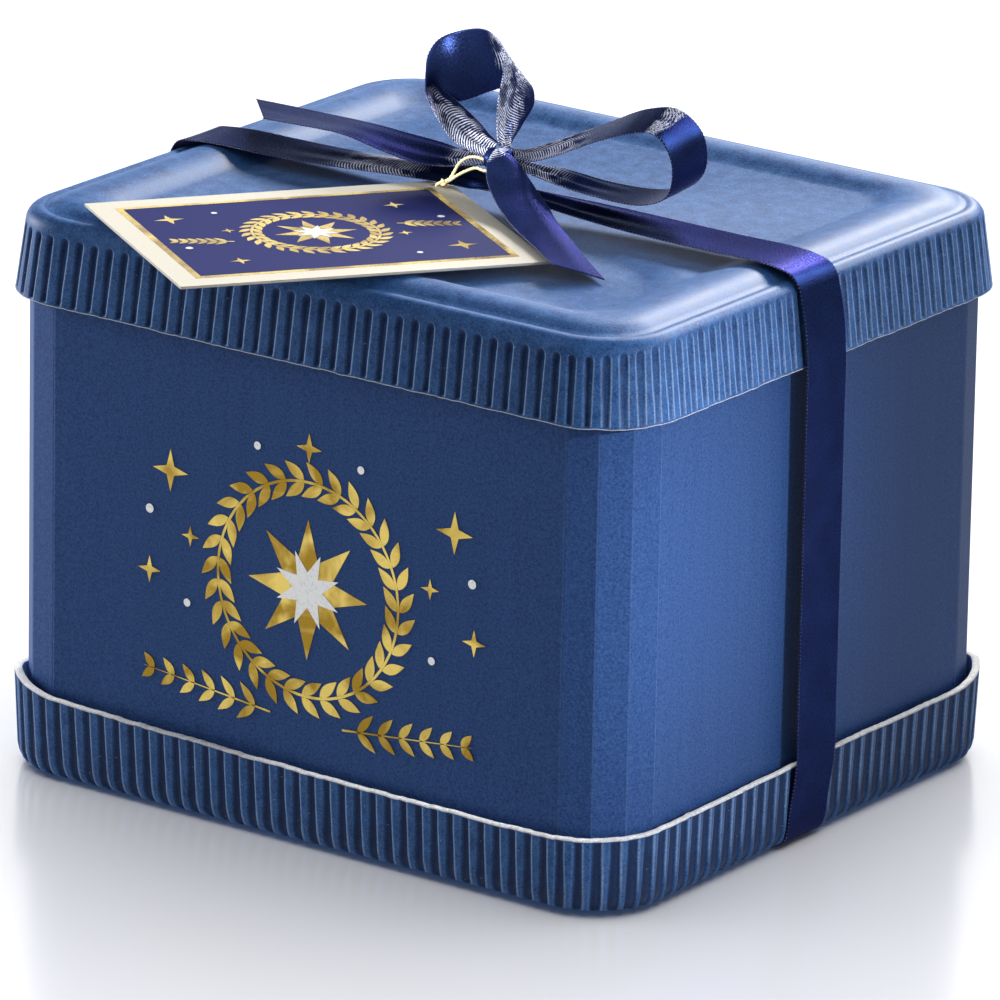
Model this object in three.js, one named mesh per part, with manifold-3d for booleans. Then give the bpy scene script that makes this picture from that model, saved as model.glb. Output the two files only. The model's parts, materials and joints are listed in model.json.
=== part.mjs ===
// Gift box for a festive loaf: a fluted tray, a card body standing in it, a matching fluted lid,
// a satin ribbon tied over the lid in a bow, and a card tag held to the bow by a thin cord.
// Millimetres, +Z up. The origin is the middle of the underside, the front is -Y, and the
// ribbon runs along X. The body is shut, so it is solid.

import * as THREE from 'three';
import { mergeVertices } from 'three/addons/utils/BufferGeometryUtils.js';
import Module from 'manifold-3d';

const wasm = await Module();
wasm.setup();

// Tray and lid are pressed in one tool, so both open edges have this size.
const RIM_WIDTH = 250;
const RIM_DEPTH = 221;
const RIM_CORNER = 27;
const DISH_HEIGHT = 27.3;
const DISH_FLARE = 6;
const DISH_FILL = 15.5;
const BOARD = 2.2;

// Flutes run along the flared walls, from a plain lip at the open edge to a smooth shoulder.
const FLUTES = 150;
const FLUTE_DEPTH = 1.2;
const FLUTE_LIP = 0.8;
const FLUTE_TOP = 23.2;
const RIDGE_PHASES = [0.12, 0.38];
const VALLEY_PHASES = [0.62, 0.88];

// Body of creased card between the two dishes.
const BODY_INSET = 6.4;
const BODY_CORNER = 21;
const BODY_CREASES = 4;

const LID_EDGE = 157.3;
const CLEARANCE = 0.3;

// Lid's section above the flutes, as inset from the open edge, second inset on the front and
// back, and height above that edge: shoulder, bead, crease, rounded border, sunk panel.
const LID_SECTION = [
  { insetX: 5.2, insetY: 5.2, rise: 24.0 },
  { insetX: 5.8, insetY: 5.8, rise: 26.4 },
  { insetX: 7.6, insetY: 7.6, rise: 27.6 },
  { insetX: 9.4, insetY: 9.4, rise: 27.2 },
  { insetX: 13.5, insetY: 13.0, rise: 29.2 },
  { insetX: 19.0, insetY: 18.0, rise: 30.2 },
  { insetX: 26.0, insetY: 23.5, rise: 29.6 },
  { insetX: 31.5, insetY: 27.5, rise: 27.8 },
  { insetX: 35.0, insetY: 30.0, rise: 27.0 },
];
const LID_INNER_CORNER = 15;

// Tray's rounded foot, as inset from the open edge and height.
const FOOT_SECTION = [
  { inset: 9.0, rise: 0.0 },
  { inset: 7.2, rise: 0.6 },
  { inset: 5.9, rise: 2.6 },
];
const TRAY_FLUTE_START = 4.4;

// Satin ribbon. Under the box it lies in a shallow groove, so that tray and ribbon stand together.
const RIBBON_WIDTH = 21;
const RIBBON_THICK = 0.6;
const RIBBON_Y = -4.6;
const GROOVE_DEPTH = 1.0;
const GROOVE_SIDE = 0.4;
const KNOT_CENTRE = new THREE.Vector3(-2, -1, 198.4);
const KNOT_RADII = new THREE.Vector3(6.2, 7.2, 5.9);
const KNOT_GAP = 1.1;

// The band's route up each wall and on to the lid. It is stiff and bows clear of the board:
// how far it lies inside the open edge, and its height above the table or the lid's open edge.
const BAND_BY_TRAY = [
  { inset: 9.5, rise: 0.3 },
  { inset: 5.8, rise: 0.5 },
  { inset: 3.2, rise: 1.6 },
  { inset: 2.1, rise: 4.4 },
  { inset: 0.8, rise: 15.0 },
  { inset: -0.8, rise: 27.3 },
  { inset: -1.0, rise: 47.3 },
];
const BAND_BY_LID = [
  { inset: -1.0, rise: -20.0 },
  { inset: -1.0, rise: 0.0 },
  { inset: 0.0, rise: 13.0 },
  { inset: 1.9, rise: 22.5 },
  { inset: 2.9, rise: 26.0 },
  { inset: 5.6, rise: 29.4 },
];
const BAND_BELOW = [60, 0, -60];

// Stations of the ribbon: the middle of the strip, and half its width from one edge to the other.
// The band spans the sunk panel from right to left and is gathered under the knot.
const BAND_TOP = [
  { at: [114, -4.6, 188.4], half: [0, 10.5, 0] },
  { at: [105, -4.6, 189.2], half: [0, 10.5, 0] },
  { at: [86, -4.6, 189.1], half: [0, 10.5, 0] },
  { at: [56, -4.6, 189.5], half: [0, 10.1, 0] },
  { at: [34, -4.6, 190.2], half: [0, 8.6, 0] },
  { at: [16, -4.6, 190.9], half: [0, 6.2, 0] },
  { at: [4, -4, 191.2], half: [0, 5.2, 0] },
  { at: [-6, -2, 191.0], half: [0, 4.4, 1.0] },
  { at: [-13, -0.5, 191.0], half: [0, 4.0, 2.3] },
  { at: [-22, -1, 190.9], half: [0, 4.4, 1.9] },
  { at: [-34, -2.3, 190.4], half: [0, 6.4, 0.9] },
  { at: [-46, -3.2, 189.9], half: [0, 8.4, 0.3] },
  { at: [-60, -4.4, 189.3], half: [0, 9.7, 0] },
  { at: [-86, -4.6, 188.6], half: [0, 10.5, 0] },
  { at: [-105, -4.6, 188.5], half: [0, 10.5, 0] },
  { at: [-114, -4.6, 187.8], half: [0, 10.5, 0] },
];
const LOOP_UPRIGHT = [
  { at: [-6, 1, 201], half: [0.3, 3.4, 1.2] },
  { at: [-12, 2, 202], half: [0.2, 5.0, 1.5] },
  { at: [-19, 3, 204.8], half: [-0.6, 7.8, 1.2] },
  { at: [-26, 4, 210], half: [-2.6, 9.9, 0] },
  { at: [-34, 6.5, 215], half: [-4.8, 9.0, 1.0] },
  { at: [-40.3, 11, 218.6], half: [-6.2, 7.6, 4.2] },
  { at: [-40, 17, 219.2], half: [-4.8, 5.6, 7.8] },
  { at: [-35.5, 22.5, 219], half: [-3.2, 3.4, 9.7] },
  { at: [-27.5, 28, 219.8], half: [-3.2, 1.5, 10.1] },
  { at: [-18.5, 28.5, 220], half: [-2.6, -4.8, 8.7] },
  { at: [-12.5, 22, 215.2], half: [-1.0, -7.6, 7.2] },
  { at: [-9, 13, 208.6], half: [-0.4, -5.6, 5.6] },
  { at: [-5.5, 6, 203.8], half: [-0.1, -3.8, 2.6] },
  { at: [-3, 3, 201.5], half: [0, -3.0, 1.6] },
];
const LOOP_SIDE = [
  { at: [0, 1, 200.8], half: [-2.2, 2.6, 0.4] },
  { at: [8, 0.5, 201.6], half: [-4.2, 4.2, 0.2] },
  { at: [20, 0, 206.8], half: [-6.0, 6.6, -0.6] },
  { at: [36, 0, 214.5], half: [-5.2, 9.3, -0.2] },
  { at: [50, 0, 220.6], half: [-3.4, 10.1, 1.2] },
  { at: [60.5, 0, 222.2], half: [-2.2, 10.5, 1.2] },
  { at: [67.3, 0, 217.6], half: [-0.6, 10.7, 0] },
  { at: [69.6, 0, 209.4], half: [-0.9, 10.7, -1.2] },
  { at: [66.6, 0, 201.6], half: [-2.0, 10.6, -0.6] },
  { at: [56.4, 0, 197.2], half: [-2.2, 10.5, -0.2] },
  { at: [37, 0, 196.2], half: [-2.0, 9.7, -0.5] },
  { at: [19, 0, 197.6], half: [-1.8, 7.0, 0.2] },
  { at: [9, 0, 198.2], half: [-1.2, 4.4, 0] },
  { at: [0, 0, 198.8], half: [-0.8, 3.0, 0] },
];
const TAIL_FRONT = [
  { at: [-1, -2, 200.6], half: [1.6, 3.6, 0.4] },
  { at: [2, -7.6, 200.6], half: [0.6, 5.0, 0.8] },
  { at: [6.6, -12.4, 198.2], half: [0.2, 6.6, 0.9] },
  { at: [12.6, -16.2, 194.9], half: [0.9, 7.4, 0.6] },
  { at: [20.4, -20.9, 192.4], half: [1.9, 7.5, 0.2] },
  { at: [32.4, -29.4, 190.3], half: [1.6, 8.3, -0.3] },
  { at: [48, -40.8, 189.1], half: [0.8, 9.0, -1.1] },
  { at: [62.7, -51.8, 188.2], half: [0.0, 9.6, -1.8] },
  { at: [75.4, -61.3, 187.6], half: [-1.2, 10.4, -2.0] },
];
const TAIL_LEFT = [
  { at: [-3, 2, 198.2], half: [-0.4, 3.0, 0.8] },
  { at: [-13, 3, 196.6], half: [-0.8, 4.2, 1.0] },
  { at: [-22.5, 3, 195.0], half: [-1.8, 6.6, 1.1] },
  { at: [-33.5, 3, 194.8], half: [-2.0, 8.5, 1.4] },
  { at: [-46, 3, 195.8], half: [-1.6, 9.7, 0.4] },
  { at: [-61, 4, 197.0], half: [-0.6, 10.3, -0.8] },
  { at: [-77, 4.5, 196.8], half: [0, 10.4, -0.8] },
  { at: [-92.5, 5.5, 196.2], half: [-0.6, 10.4, -0.6] },
  { at: [-112, 7, 195.4], half: [-0.6, 10.4, -0.6] },
];
const TIP_SLANT = 13;

// Card tag: its far left corner, its two directions, its size and its eyelet.
const TAG_CORNER = new THREE.Vector3(-91.5, -98.8, 189.2);
const TAG_ALONG = new THREE.Vector3(0.5598, 0.8285, -0.018);
const TAG_ACROSS = new THREE.Vector3(0.8286, -0.5597, 0.006);
const TAG_LENGTH = 120;
const TAG_DEPTH = 96;
const TAG_THICK = 0.8;
const HOLE_RADIUS = 2;
const HOLE_MARGIN = 5;

// Thin cord from its own small knot down through the eyelet, out under the tag's edge, round
// the gathered ribbon and back into the knot.
const CORD_DIAMETER = 1.1;
const CORD_KNOT_RADIUS = 1.4;
const CORD_PATH = [
  [-18.6, -7.4, 189.6],
  [-21.2, -7.2, 189.0],
  [-22.8, -6.5, 188.2],
  [-22.95, -6.2, 187.0],
  [-22.4, -5.2, 186.1],
  [-20.6, -2.6, 186.0],
  [-18.6, 0.4, 186.5],
  [-16.4, 3.2, 187.8],
  [-14.8, 5.2, 189.8],
  [-14.4, 5.4, 192.2],
  [-14.5, 3.4, 194.3],
  [-14.6, 0.0, 194.1],
  [-14.9, -4.4, 192.4],
  [-16.3, -7.0, 190.8],
  [-18.6, -7.4, 189.6],
];

const material = (color, roughness, metalness = 0) =>
  new THREE.MeshStandardMaterial({ color, roughness, metalness });

const NAVY_PAPER = material(0x2b4678, 0.75);
const SATIN = material(0x1d1f55, 0.35);
const CARD = material(0xe9e4d6, 0.6);
const GILT = material(0xc9a84a, 0.4, 0.6);

// A place on the rim's outline: the centre of its curvature, its outward direction, and a
// running mark that counts straight sides and corners, so that rings of any size line up.
function outlinePlace(distance) {
  const coreX = RIM_WIDTH / 2 - RIM_CORNER;
  const coreY = RIM_DEPTH / 2 - RIM_CORNER;
  const arc = (Math.PI / 2) * RIM_CORNER;
  const sides = [2 * coreY, 2 * coreX, 2 * coreY, 2 * coreX];
  const corners = [[coreX, coreY], [-coreX, coreY], [-coreX, -coreY], [coreX, -coreY]];
  let left = distance;
  for (let side = 0; side < 4; side += 1) {
    const facing = (side * Math.PI) / 2;
    const [endX, endY] = corners[side];
    if (left < sides[side]) {
      const back = sides[side] - left;
      return {
        x: endX + back * Math.sin(facing),
        y: endY - back * Math.cos(facing),
        angle: facing,
        mark: 2 * side + left / sides[side],
      };
    }
    left -= sides[side];
    if (left < arc) {
      const turned = left / arc;
      return { x: endX, y: endY, angle: facing + (turned * Math.PI) / 2, mark: 2 * side + 1 + turned };
    }
    left -= arc;
  }
  return outlinePlace(0);
}

const OUTLINE_LENGTH = 2 * (RIM_WIDTH + RIM_DEPTH) + (2 * Math.PI - 8) * RIM_CORNER;

// A ring of ridges and valleys at one height of a flared wall.
function flutedRing(z, inset) {
  const ring = [];
  for (let flute = 0; flute < FLUTES; flute += 1) {
    for (const phase of [...RIDGE_PHASES, ...VALLEY_PHASES]) {
      const place = outlinePlace(((flute + phase) / FLUTES) * OUTLINE_LENGTH);
      const sunk = VALLEY_PHASES.includes(phase) ? FLUTE_DEPTH : 0;
      const reach = RIM_CORNER - inset - sunk;
      ring.push({
        x: place.x + reach * Math.cos(place.angle),
        y: place.y + reach * Math.sin(place.angle),
        z,
        mark: place.mark,
      });
    }
  }
  return ring;
}

// A plain rounded rectangle at one height.
function smoothRing(z, insetX, insetY, corner, steps = 7) {
  const coreX = RIM_WIDTH / 2 - insetX - corner;
  const coreY = RIM_DEPTH / 2 - insetY - corner;
  const ring = [];
  const quarters = [[coreX, coreY], [-coreX, coreY], [-coreX, -coreY], [coreX, -coreY]];
  quarters.forEach(([centreX, centreY], quarter) => {
    for (let step = 0; step <= steps; step += 1) {
      const angle = ((quarter + step / steps) * Math.PI) / 2;
      ring.push({
        x: centreX + corner * Math.cos(angle),
        y: centreY + corner * Math.sin(angle),
        z,
        mark: 2 * quarter + 1 + step / steps,
      });
    }
  });
  return ring;
}

// Joins rings of any number of points into one closed skin with flat ends.
function skin(rings) {
  const positions = [];
  const indices = [];
  const starts = rings.map((ring) => {
    const start = positions.length / 3;
    ring.forEach((point) => positions.push(point.x, point.y, point.z));
    return start;
  });
  const LAP = 8;
  for (let level = 0; level + 1 < rings.length; level += 1) {
    const [lower, upper] = [rings[level], rings[level + 1]];
    const [lowerStart, upperStart] = [starts[level], starts[level + 1]];
    const markOf = (ring, index) => ring[index % ring.length].mark + (index >= ring.length ? LAP : 0);
    let i = 0;
    let j = 0;
    while (i < lower.length || j < upper.length) {
      const here = lowerStart + (i % lower.length);
      const above = upperStart + (j % upper.length);
      const takeLower = j >= upper.length || (i < lower.length && markOf(lower, i + 1) <= markOf(upper, j + 1));
      if (takeLower) {
        i += 1;
        indices.push(here, lowerStart + (i % lower.length), above);
      } else {
        j += 1;
        indices.push(here, upperStart + (j % upper.length), above);
      }
    }
  }
  const closeWith = (level, facingDown) => {
    const ring = rings[level];
    const centre = positions.length / 3;
    positions.push(0, 0, ring[0].z);
    ring.forEach((point, index) => {
      const a = starts[level] + index;
      const b = starts[level] + ((index + 1) % ring.length);
      indices.push(centre, facingDown ? b : a, facingDown ? a : b);
    });
  };
  closeWith(0, true);
  closeWith(rings.length - 1, false);
  return indexedGeometry(positions, indices);
}

function indexedGeometry(positions, indices) {
  const geometry = new THREE.BufferGeometry();
  geometry.setAttribute('position', new THREE.Float32BufferAttribute(positions, 3));
  geometry.setIndex(indices);
  geometry.computeVertexNormals();
  return geometry;
}

// A strip of ribbon through stations, as a closed solid, or as a ring when looped. It never
// sinks below the table at height zero.
function ribbonGeometry(stations, steps, looped = false, slant = 0) {
  const middles = new THREE.CatmullRomCurve3(stations.map((s) => new THREE.Vector3(...s.at)), looped, 'centripetal');
  const halves = new THREE.CatmullRomCurve3(stations.map((s) => new THREE.Vector3(...s.half)), looped, 'catmullrom', 0.5);
  const positions = [];
  const sections = looped ? steps : steps + 1;
  for (let step = 0; step < sections; step += 1) {
    const u = step / steps;
    const half = halves.getPoint(u);
    const along = middles.getTangent(u);
    const face = new THREE.Vector3().crossVectors(along, half).normalize().multiplyScalar(RIBBON_THICK / 2);
    const middle = middles.getPoint(u);
    middle.z = Math.max(middle.z, RIBBON_THICK / 2);
    const cut = step === steps ? slant : 0;
    for (const [edge, side] of [[1, 1], [-1, 1], [-1, -1], [1, -1]]) {
      const point = middle.clone().addScaledVector(half, edge).addScaledVector(face, side);
      point.addScaledVector(along, edge < 0 ? -cut : 0);
      positions.push(point.x, point.y, point.z);
    }
  }
  const indices = [];
  const CORNERS = 4;
  for (let step = 0; step < steps; step += 1) {
    const base = step * CORNERS;
    const next = ((step + 1) % sections) * CORNERS;
    for (let corner = 0; corner < CORNERS; corner += 1) {
      const after = (corner + 1) % CORNERS;
      indices.push(base + corner, base + after, next + corner);
      indices.push(base + after, next + after, next + corner);
    }
  }
  if (!looped) {
    const last = steps * CORNERS;
    indices.push(0, 3, 2, 0, 2, 1);
    indices.push(last, last + 1, last + 2, last, last + 2, last + 3);
  }
  return indexedGeometry(positions, indices);
}

// Boolean cuts work on meshes that hold nothing but shared positions.
function toSolid(geometry) {
  const bare = geometry.clone();
  bare.deleteAttribute('normal');
  bare.deleteAttribute('uv');
  const merged = mergeVertices(bare, 1e-4);
  return new wasm.Manifold(new wasm.Mesh({
    numProp: 3,
    vertProperties: new Float32Array(merged.attributes.position.array),
    triVerts: new Uint32Array(merged.index.array),
  }));
}

function fromSolid(solid) {
  const mesh = solid.getMesh();
  return indexedGeometry(Array.from(mesh.vertProperties), Array.from(mesh.triVerts));
}

const insetOfWall = (rise) => DISH_FLARE * (1 - rise / DISH_HEIGHT);

function trayGeometry() {
  const innerInset = (rise) => insetOfWall(rise) + FLUTE_DEPTH + BOARD;
  const rings = FOOT_SECTION.map((ring) => smoothRing(ring.rise, ring.inset, ring.inset, RIM_CORNER - ring.inset));
  for (const rise of [TRAY_FLUTE_START, DISH_HEIGHT - FLUTE_LIP]) {
    rings.push(flutedRing(rise, insetOfWall(rise)));
  }
  rings.push(smoothRing(DISH_HEIGHT, 0, 0, RIM_CORNER));
  for (const rise of [DISH_HEIGHT, DISH_FILL]) {
    rings.push(smoothRing(rise, innerInset(rise), innerInset(rise), RIM_CORNER - innerInset(rise)));
  }
  const groove = new THREE.BoxGeometry(RIM_WIDTH, RIBBON_WIDTH + 2 * GROOVE_SIDE, 2 * GROOVE_DEPTH);
  groove.translate(0, RIBBON_Y, 0);
  return fromSolid(toSolid(skin(rings)).subtract(toSolid(groove)));
}

function bodyGeometry() {
  const halfX = RIM_WIDTH / 2 - BODY_INSET;
  const halfY = RIM_DEPTH / 2 - BODY_INSET;
  const outline = new THREE.Shape();
  const quarters = [[1, 1], [-1, 1], [-1, -1], [1, -1]];
  quarters.forEach(([signX, signY], quarter) => {
    for (let crease = 0; crease < BODY_CREASES; crease += 1) {
      const angle = ((quarter + crease / (BODY_CREASES - 1)) * Math.PI) / 2;
      const x = signX * (halfX - BODY_CORNER) + BODY_CORNER * Math.cos(angle);
      const y = signY * (halfY - BODY_CORNER) + BODY_CORNER * Math.sin(angle);
      if (quarter === 0 && crease === 0) outline.moveTo(x, y);
      else outline.lineTo(x, y);
    }
  });
  outline.closePath();
  const bottom = DISH_FILL + CLEARANCE;
  const top = LID_EDGE + DISH_HEIGHT - DISH_FILL - CLEARANCE;
  const geometry = new THREE.ExtrudeGeometry(outline, { depth: top - bottom, bevelEnabled: false });
  geometry.translate(0, 0, bottom);
  return geometry;
}

function lidGeometry() {
  const innerInset = (rise) => insetOfWall(DISH_HEIGHT - rise) + FLUTE_DEPTH + BOARD;
  const ceiling = DISH_HEIGHT - DISH_FILL;
  const rings = [ceiling, 0].map((rise) =>
    smoothRing(LID_EDGE + rise, innerInset(rise), innerInset(rise), RIM_CORNER - innerInset(rise)));
  rings.push(smoothRing(LID_EDGE, 0, 0, RIM_CORNER));
  for (const rise of [FLUTE_LIP, FLUTE_TOP]) {
    rings.push(flutedRing(LID_EDGE + rise, insetOfWall(DISH_HEIGHT - rise)));
  }
  for (const ring of LID_SECTION) {
    const corner = Math.max(RIM_CORNER - (ring.insetX + ring.insetY) / 2, LID_INNER_CORNER);
    rings.push(smoothRing(LID_EDGE + ring.rise, ring.insetX, ring.insetY, corner));
  }
  return skin(rings);
}

// The band's route round the box as one closed ring: up the right wall, over the lid, down the
// left wall and back underneath.
function bandStations() {
  const half = [0, RIBBON_WIDTH / 2, 0];
  const wall = (sign) => [...BAND_BY_TRAY, ...BAND_BY_LID].map(({ inset, rise }, index) => ({
    at: [sign * (RIM_WIDTH / 2 - inset), RIBBON_Y, index < BAND_BY_TRAY.length ? rise : LID_EDGE + rise],
    half,
  }));
  const below = BAND_BELOW.map((x) => ({ at: [-x, RIBBON_Y, RIBBON_THICK / 2], half }));
  return [...wall(1), ...BAND_TOP, ...wall(-1).reverse(), ...below];
}

// The knot is a lump, and whatever leaves it stops short of it by a hair.
function knotGeometry(grow) {
  const geometry = new THREE.SphereGeometry(1, 16, 10);
  geometry.scale(KNOT_RADII.x + grow, KNOT_RADII.y + grow, KNOT_RADII.z + grow);
  geometry.translate(KNOT_CENTRE.x, KNOT_CENTRE.y, KNOT_CENTRE.z);
  return geometry;
}

function clearOfKnot(geometry) {
  return fromSolid(toSolid(geometry).subtract(toSolid(knotGeometry(KNOT_GAP / 2))));
}

function tagMesh() {
  const outline = new THREE.Shape();
  outline.moveTo(0, 0);
  outline.lineTo(0, -TAG_DEPTH);
  outline.lineTo(TAG_LENGTH, -TAG_DEPTH);
  outline.lineTo(TAG_LENGTH, 0);
  outline.closePath();
  const hole = new THREE.Path();
  hole.absarc(TAG_LENGTH - HOLE_MARGIN, -HOLE_MARGIN, HOLE_RADIUS, 0, 2 * Math.PI, true);
  outline.holes.push(hole);
  const geometry = new THREE.ExtrudeGeometry(outline, { depth: TAG_THICK, bevelEnabled: false, curveSegments: 6 });
  const mesh = new THREE.Mesh(geometry, CARD);
  const along = TAG_ALONG.clone().normalize();
  const up = new THREE.Vector3().crossVectors(TAG_ACROSS, along).normalize();
  const back = new THREE.Vector3().crossVectors(up, along);
  mesh.quaternion.setFromRotationMatrix(new THREE.Matrix4().makeBasis(along, back, up));
  mesh.position.copy(TAG_CORNER);
  return mesh;
}

function cordGeometry() {
  const path = new THREE.CatmullRomCurve3(CORD_PATH.map((place) => new THREE.Vector3(...place)), false, 'centripetal');
  const section = new THREE.Shape();
  section.absarc(0, 0, CORD_DIAMETER / 2, 0, 2 * Math.PI, false);
  const strand = new THREE.ExtrudeGeometry(section, { steps: 44, extrudePath: path, curveSegments: 4 });
  const knot = new THREE.SphereGeometry(CORD_KNOT_RADIUS, 10, 7);
  knot.translate(...CORD_PATH[0]);
  return fromSolid(toSolid(strand).add(toSolid(knot)));
}

const box = new THREE.Group();
const add = (name, mesh) => {
  mesh.name = name;
  box.add(mesh);
};

add('tray', new THREE.Mesh(trayGeometry(), NAVY_PAPER));
add('body', new THREE.Mesh(bodyGeometry(), NAVY_PAPER));
add('lid', new THREE.Mesh(lidGeometry(), NAVY_PAPER));
add('ribbon_band', new THREE.Mesh(ribbonGeometry(bandStations(), 160, true), SATIN));
add('bow_knot', new THREE.Mesh(knotGeometry(0), SATIN));
add('bow_loop_upright', new THREE.Mesh(clearOfKnot(ribbonGeometry(LOOP_UPRIGHT, 40)), SATIN));
add('bow_loop_side', new THREE.Mesh(clearOfKnot(ribbonGeometry(LOOP_SIDE, 40)), SATIN));
add('bow_tail_front', new THREE.Mesh(clearOfKnot(ribbonGeometry(TAIL_FRONT, 24, false, TIP_SLANT)), SATIN));
add('bow_tail_left', new THREE.Mesh(clearOfKnot(ribbonGeometry(TAIL_LEFT, 24, false, TIP_SLANT)), SATIN));
add('tag', tagMesh());
add('tag_cord', new THREE.Mesh(cordGeometry(), GILT));

export default box;
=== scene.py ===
"""A closed gift box for a festive loaf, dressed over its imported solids.

A fluted tray and lid of pressed board, a creased card body with a foil ornament, a satin ribbon
tied in a bow, and a card tag on a gilt cord. Lengths are millimetres until a mesh is made, and
Blender's are metres. The front is -Y, +Z is up and the ribbon runs along X.
"""

import json
import logging
import math
from dataclasses import dataclass, field
from enum import Enum
from typing import Iterable, Optional, Sequence

import bmesh
import bpy
import numpy as np
from mathutils import Matrix, Vector

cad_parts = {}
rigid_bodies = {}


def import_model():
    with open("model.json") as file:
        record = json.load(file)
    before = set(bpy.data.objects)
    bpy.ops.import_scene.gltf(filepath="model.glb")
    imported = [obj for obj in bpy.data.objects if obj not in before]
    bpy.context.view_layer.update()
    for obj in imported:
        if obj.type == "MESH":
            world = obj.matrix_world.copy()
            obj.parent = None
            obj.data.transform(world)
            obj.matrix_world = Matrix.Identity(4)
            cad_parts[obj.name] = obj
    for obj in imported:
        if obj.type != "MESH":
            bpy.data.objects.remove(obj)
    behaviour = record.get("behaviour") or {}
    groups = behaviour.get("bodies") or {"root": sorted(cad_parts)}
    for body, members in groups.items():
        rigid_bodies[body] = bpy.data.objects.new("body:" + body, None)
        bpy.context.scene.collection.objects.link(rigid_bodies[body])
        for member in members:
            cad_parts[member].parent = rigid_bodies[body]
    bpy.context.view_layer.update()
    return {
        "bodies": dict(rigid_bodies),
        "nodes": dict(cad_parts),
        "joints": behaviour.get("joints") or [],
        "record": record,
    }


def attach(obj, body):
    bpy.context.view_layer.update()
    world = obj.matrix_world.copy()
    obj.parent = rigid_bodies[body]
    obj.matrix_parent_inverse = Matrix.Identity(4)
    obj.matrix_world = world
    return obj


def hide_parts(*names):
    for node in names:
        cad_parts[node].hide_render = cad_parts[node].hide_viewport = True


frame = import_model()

LOG = logging.getLogger("gift_box")

MM = 0.001
SEED = 7
RIBBON_UV = "ribbon"
CARD_UV = "card"
FIELD_HALF = (52.5, 40.5)
Point = Sequence[float]


def linear(code: str) -> tuple[float, float, float, float]:
    """Turns an sRGB hex colour into Blender's linear colour.

    Args:
        code: Six hex digits after a hash.

    Returns:
        Linear red, green, blue and an alpha of one.
    """
    channels = [int(code[i:i + 2], 16) / 255 for i in (1, 3, 5)]
    curve = [c / 12.92 if c <= 0.04045 else ((c + 0.055) / 1.055) ** 2.4 for c in channels]
    return (*curve, 1.0)


def set_inputs(node: bpy.types.Node, inputs: dict) -> bpy.types.Node:
    """Links or sets a node's inputs.

    Args:
        node: The node.
        inputs: Values or output sockets by input name or number.

    Returns:
        The same node.
    """
    for key, value in inputs.items():
        if isinstance(value, bpy.types.NodeSocket):
            node.id_data.links.new(value, node.inputs[key])
        else:
            node.inputs[key].default_value = value
    return node


def add_node(tree: bpy.types.NodeTree, kind: str, settings: Optional[dict] = None,
             inputs: Optional[dict] = None) -> bpy.types.Node:
    """Adds a node with its settings, and links or sets its inputs.

    Args:
        tree: The tree to add to.
        kind: The node's type.
        settings: Properties of the node.
        inputs: Values or output sockets by input name or number.

    Returns:
        The new node.
    """
    node = tree.nodes.new(kind)
    for name, value in (settings or {}).items():
        setattr(node, name, value)
    return set_inputs(node, inputs or {})


def math_chain(tree: bpy.types.NodeTree, start: bpy.types.NodeSocket,
               *steps: tuple) -> bpy.types.NodeSocket:
    """Runs a value through a row of arithmetic steps.

    Args:
        tree: The tree to add to.
        start: The first value.
        steps: An operation's name, and its second and third values where it has them.

    Returns:
        The last result.
    """
    value = start
    for operation, *others in steps:
        inputs = {0: value, **{i + 1: other for i, other in enumerate(others)}}
        value = add_node(tree, "ShaderNodeMath", {"operation": operation}, inputs).outputs[0]
    return value


def mesh_object(name: str, points: np.ndarray, faces: Iterable[Sequence[int]],
                smooth: bool = True, edges: Sequence[tuple[int, int]] = ()) -> bpy.types.Object:
    """Makes an object whose place is in its mesh.

    Args:
        name: The piece's name.
        points: Rows of x, y, z in millimetres.
        faces: Point numbers of each face.
        smooth: Whether faces shade smoothly.
        edges: Point numbers of each edge, where the piece is a line.

    Returns:
        The object, linked to the scene at the origin.
    """
    mesh = bpy.data.meshes.new(name)
    mesh.from_pydata((np.asarray(points, float) * MM).tolist(), list(edges), [list(f) for f in faces])
    mesh.update()
    mesh.shade_smooth() if smooth else mesh.shade_flat()
    piece = bpy.data.objects.new(name, mesh)
    bpy.context.scene.collection.objects.link(piece)
    return piece


def closed_line(start: int, count: int, closed: bool = True) -> list[tuple[int, int]]:
    """Joins a run of points into a line, closed or open."""
    return [(start + k, start + (k + 1) % count) for k in range(count if closed else count - 1)]


def face_outwards(piece: bpy.types.Object) -> None:
    """Turns every face of a closed mesh outwards.

    Args:
        piece: The object with the mesh.
    """
    work = bmesh.new()
    work.from_mesh(piece.data)
    bmesh.ops.recalc_face_normals(work, faces=work.faces)
    work.to_mesh(piece.data)
    work.free()


def grid_faces(rows: int, columns: int, start: int = 0, looped: bool = False) -> list[list[int]]:
    """Joins rings of points into quads.

    Args:
        rows: How many rings there are.
        columns: How many points a ring has.
        start: The first ring's first point.
        looped: Whether the last ring joins up with the first.

    Returns:
        Point numbers of each face.
    """
    here = np.arange(columns)
    after = (here + 1) % columns
    faces = []
    for row in range(rows if looped else rows - 1):
        low, high = start + row * columns, start + (row + 1) % rows * columns
        faces += np.column_stack([low + here, low + after, high + after, high + here]).tolist()
    return faces


def hand_over(piece: bpy.types.Object, node: str = "") -> bpy.types.Object:
    """Gives a finished piece its body and the solid that it replaces, and reports it.

    Args:
        piece: The piece.
        node: The solid's name, where it stands for one.

    Returns:
        The same piece.
    """
    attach(piece, "root")
    if node:
        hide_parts(node)
    LOG.info("%s: %d faces", piece.name, len(piece.data.polygons))
    return piece


def set_attribute(piece: bpy.types.Object, name: str, values: np.ndarray) -> None:
    """Stores one number or one vector for each point of a piece's mesh."""
    vector = np.ndim(values) == 2
    layer = piece.data.attributes.new(name, "FLOAT_VECTOR" if vector else "FLOAT", "POINT")
    layer.data.foreach_set("vector" if vector else "value", np.asarray(values, np.float32).ravel())


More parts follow.
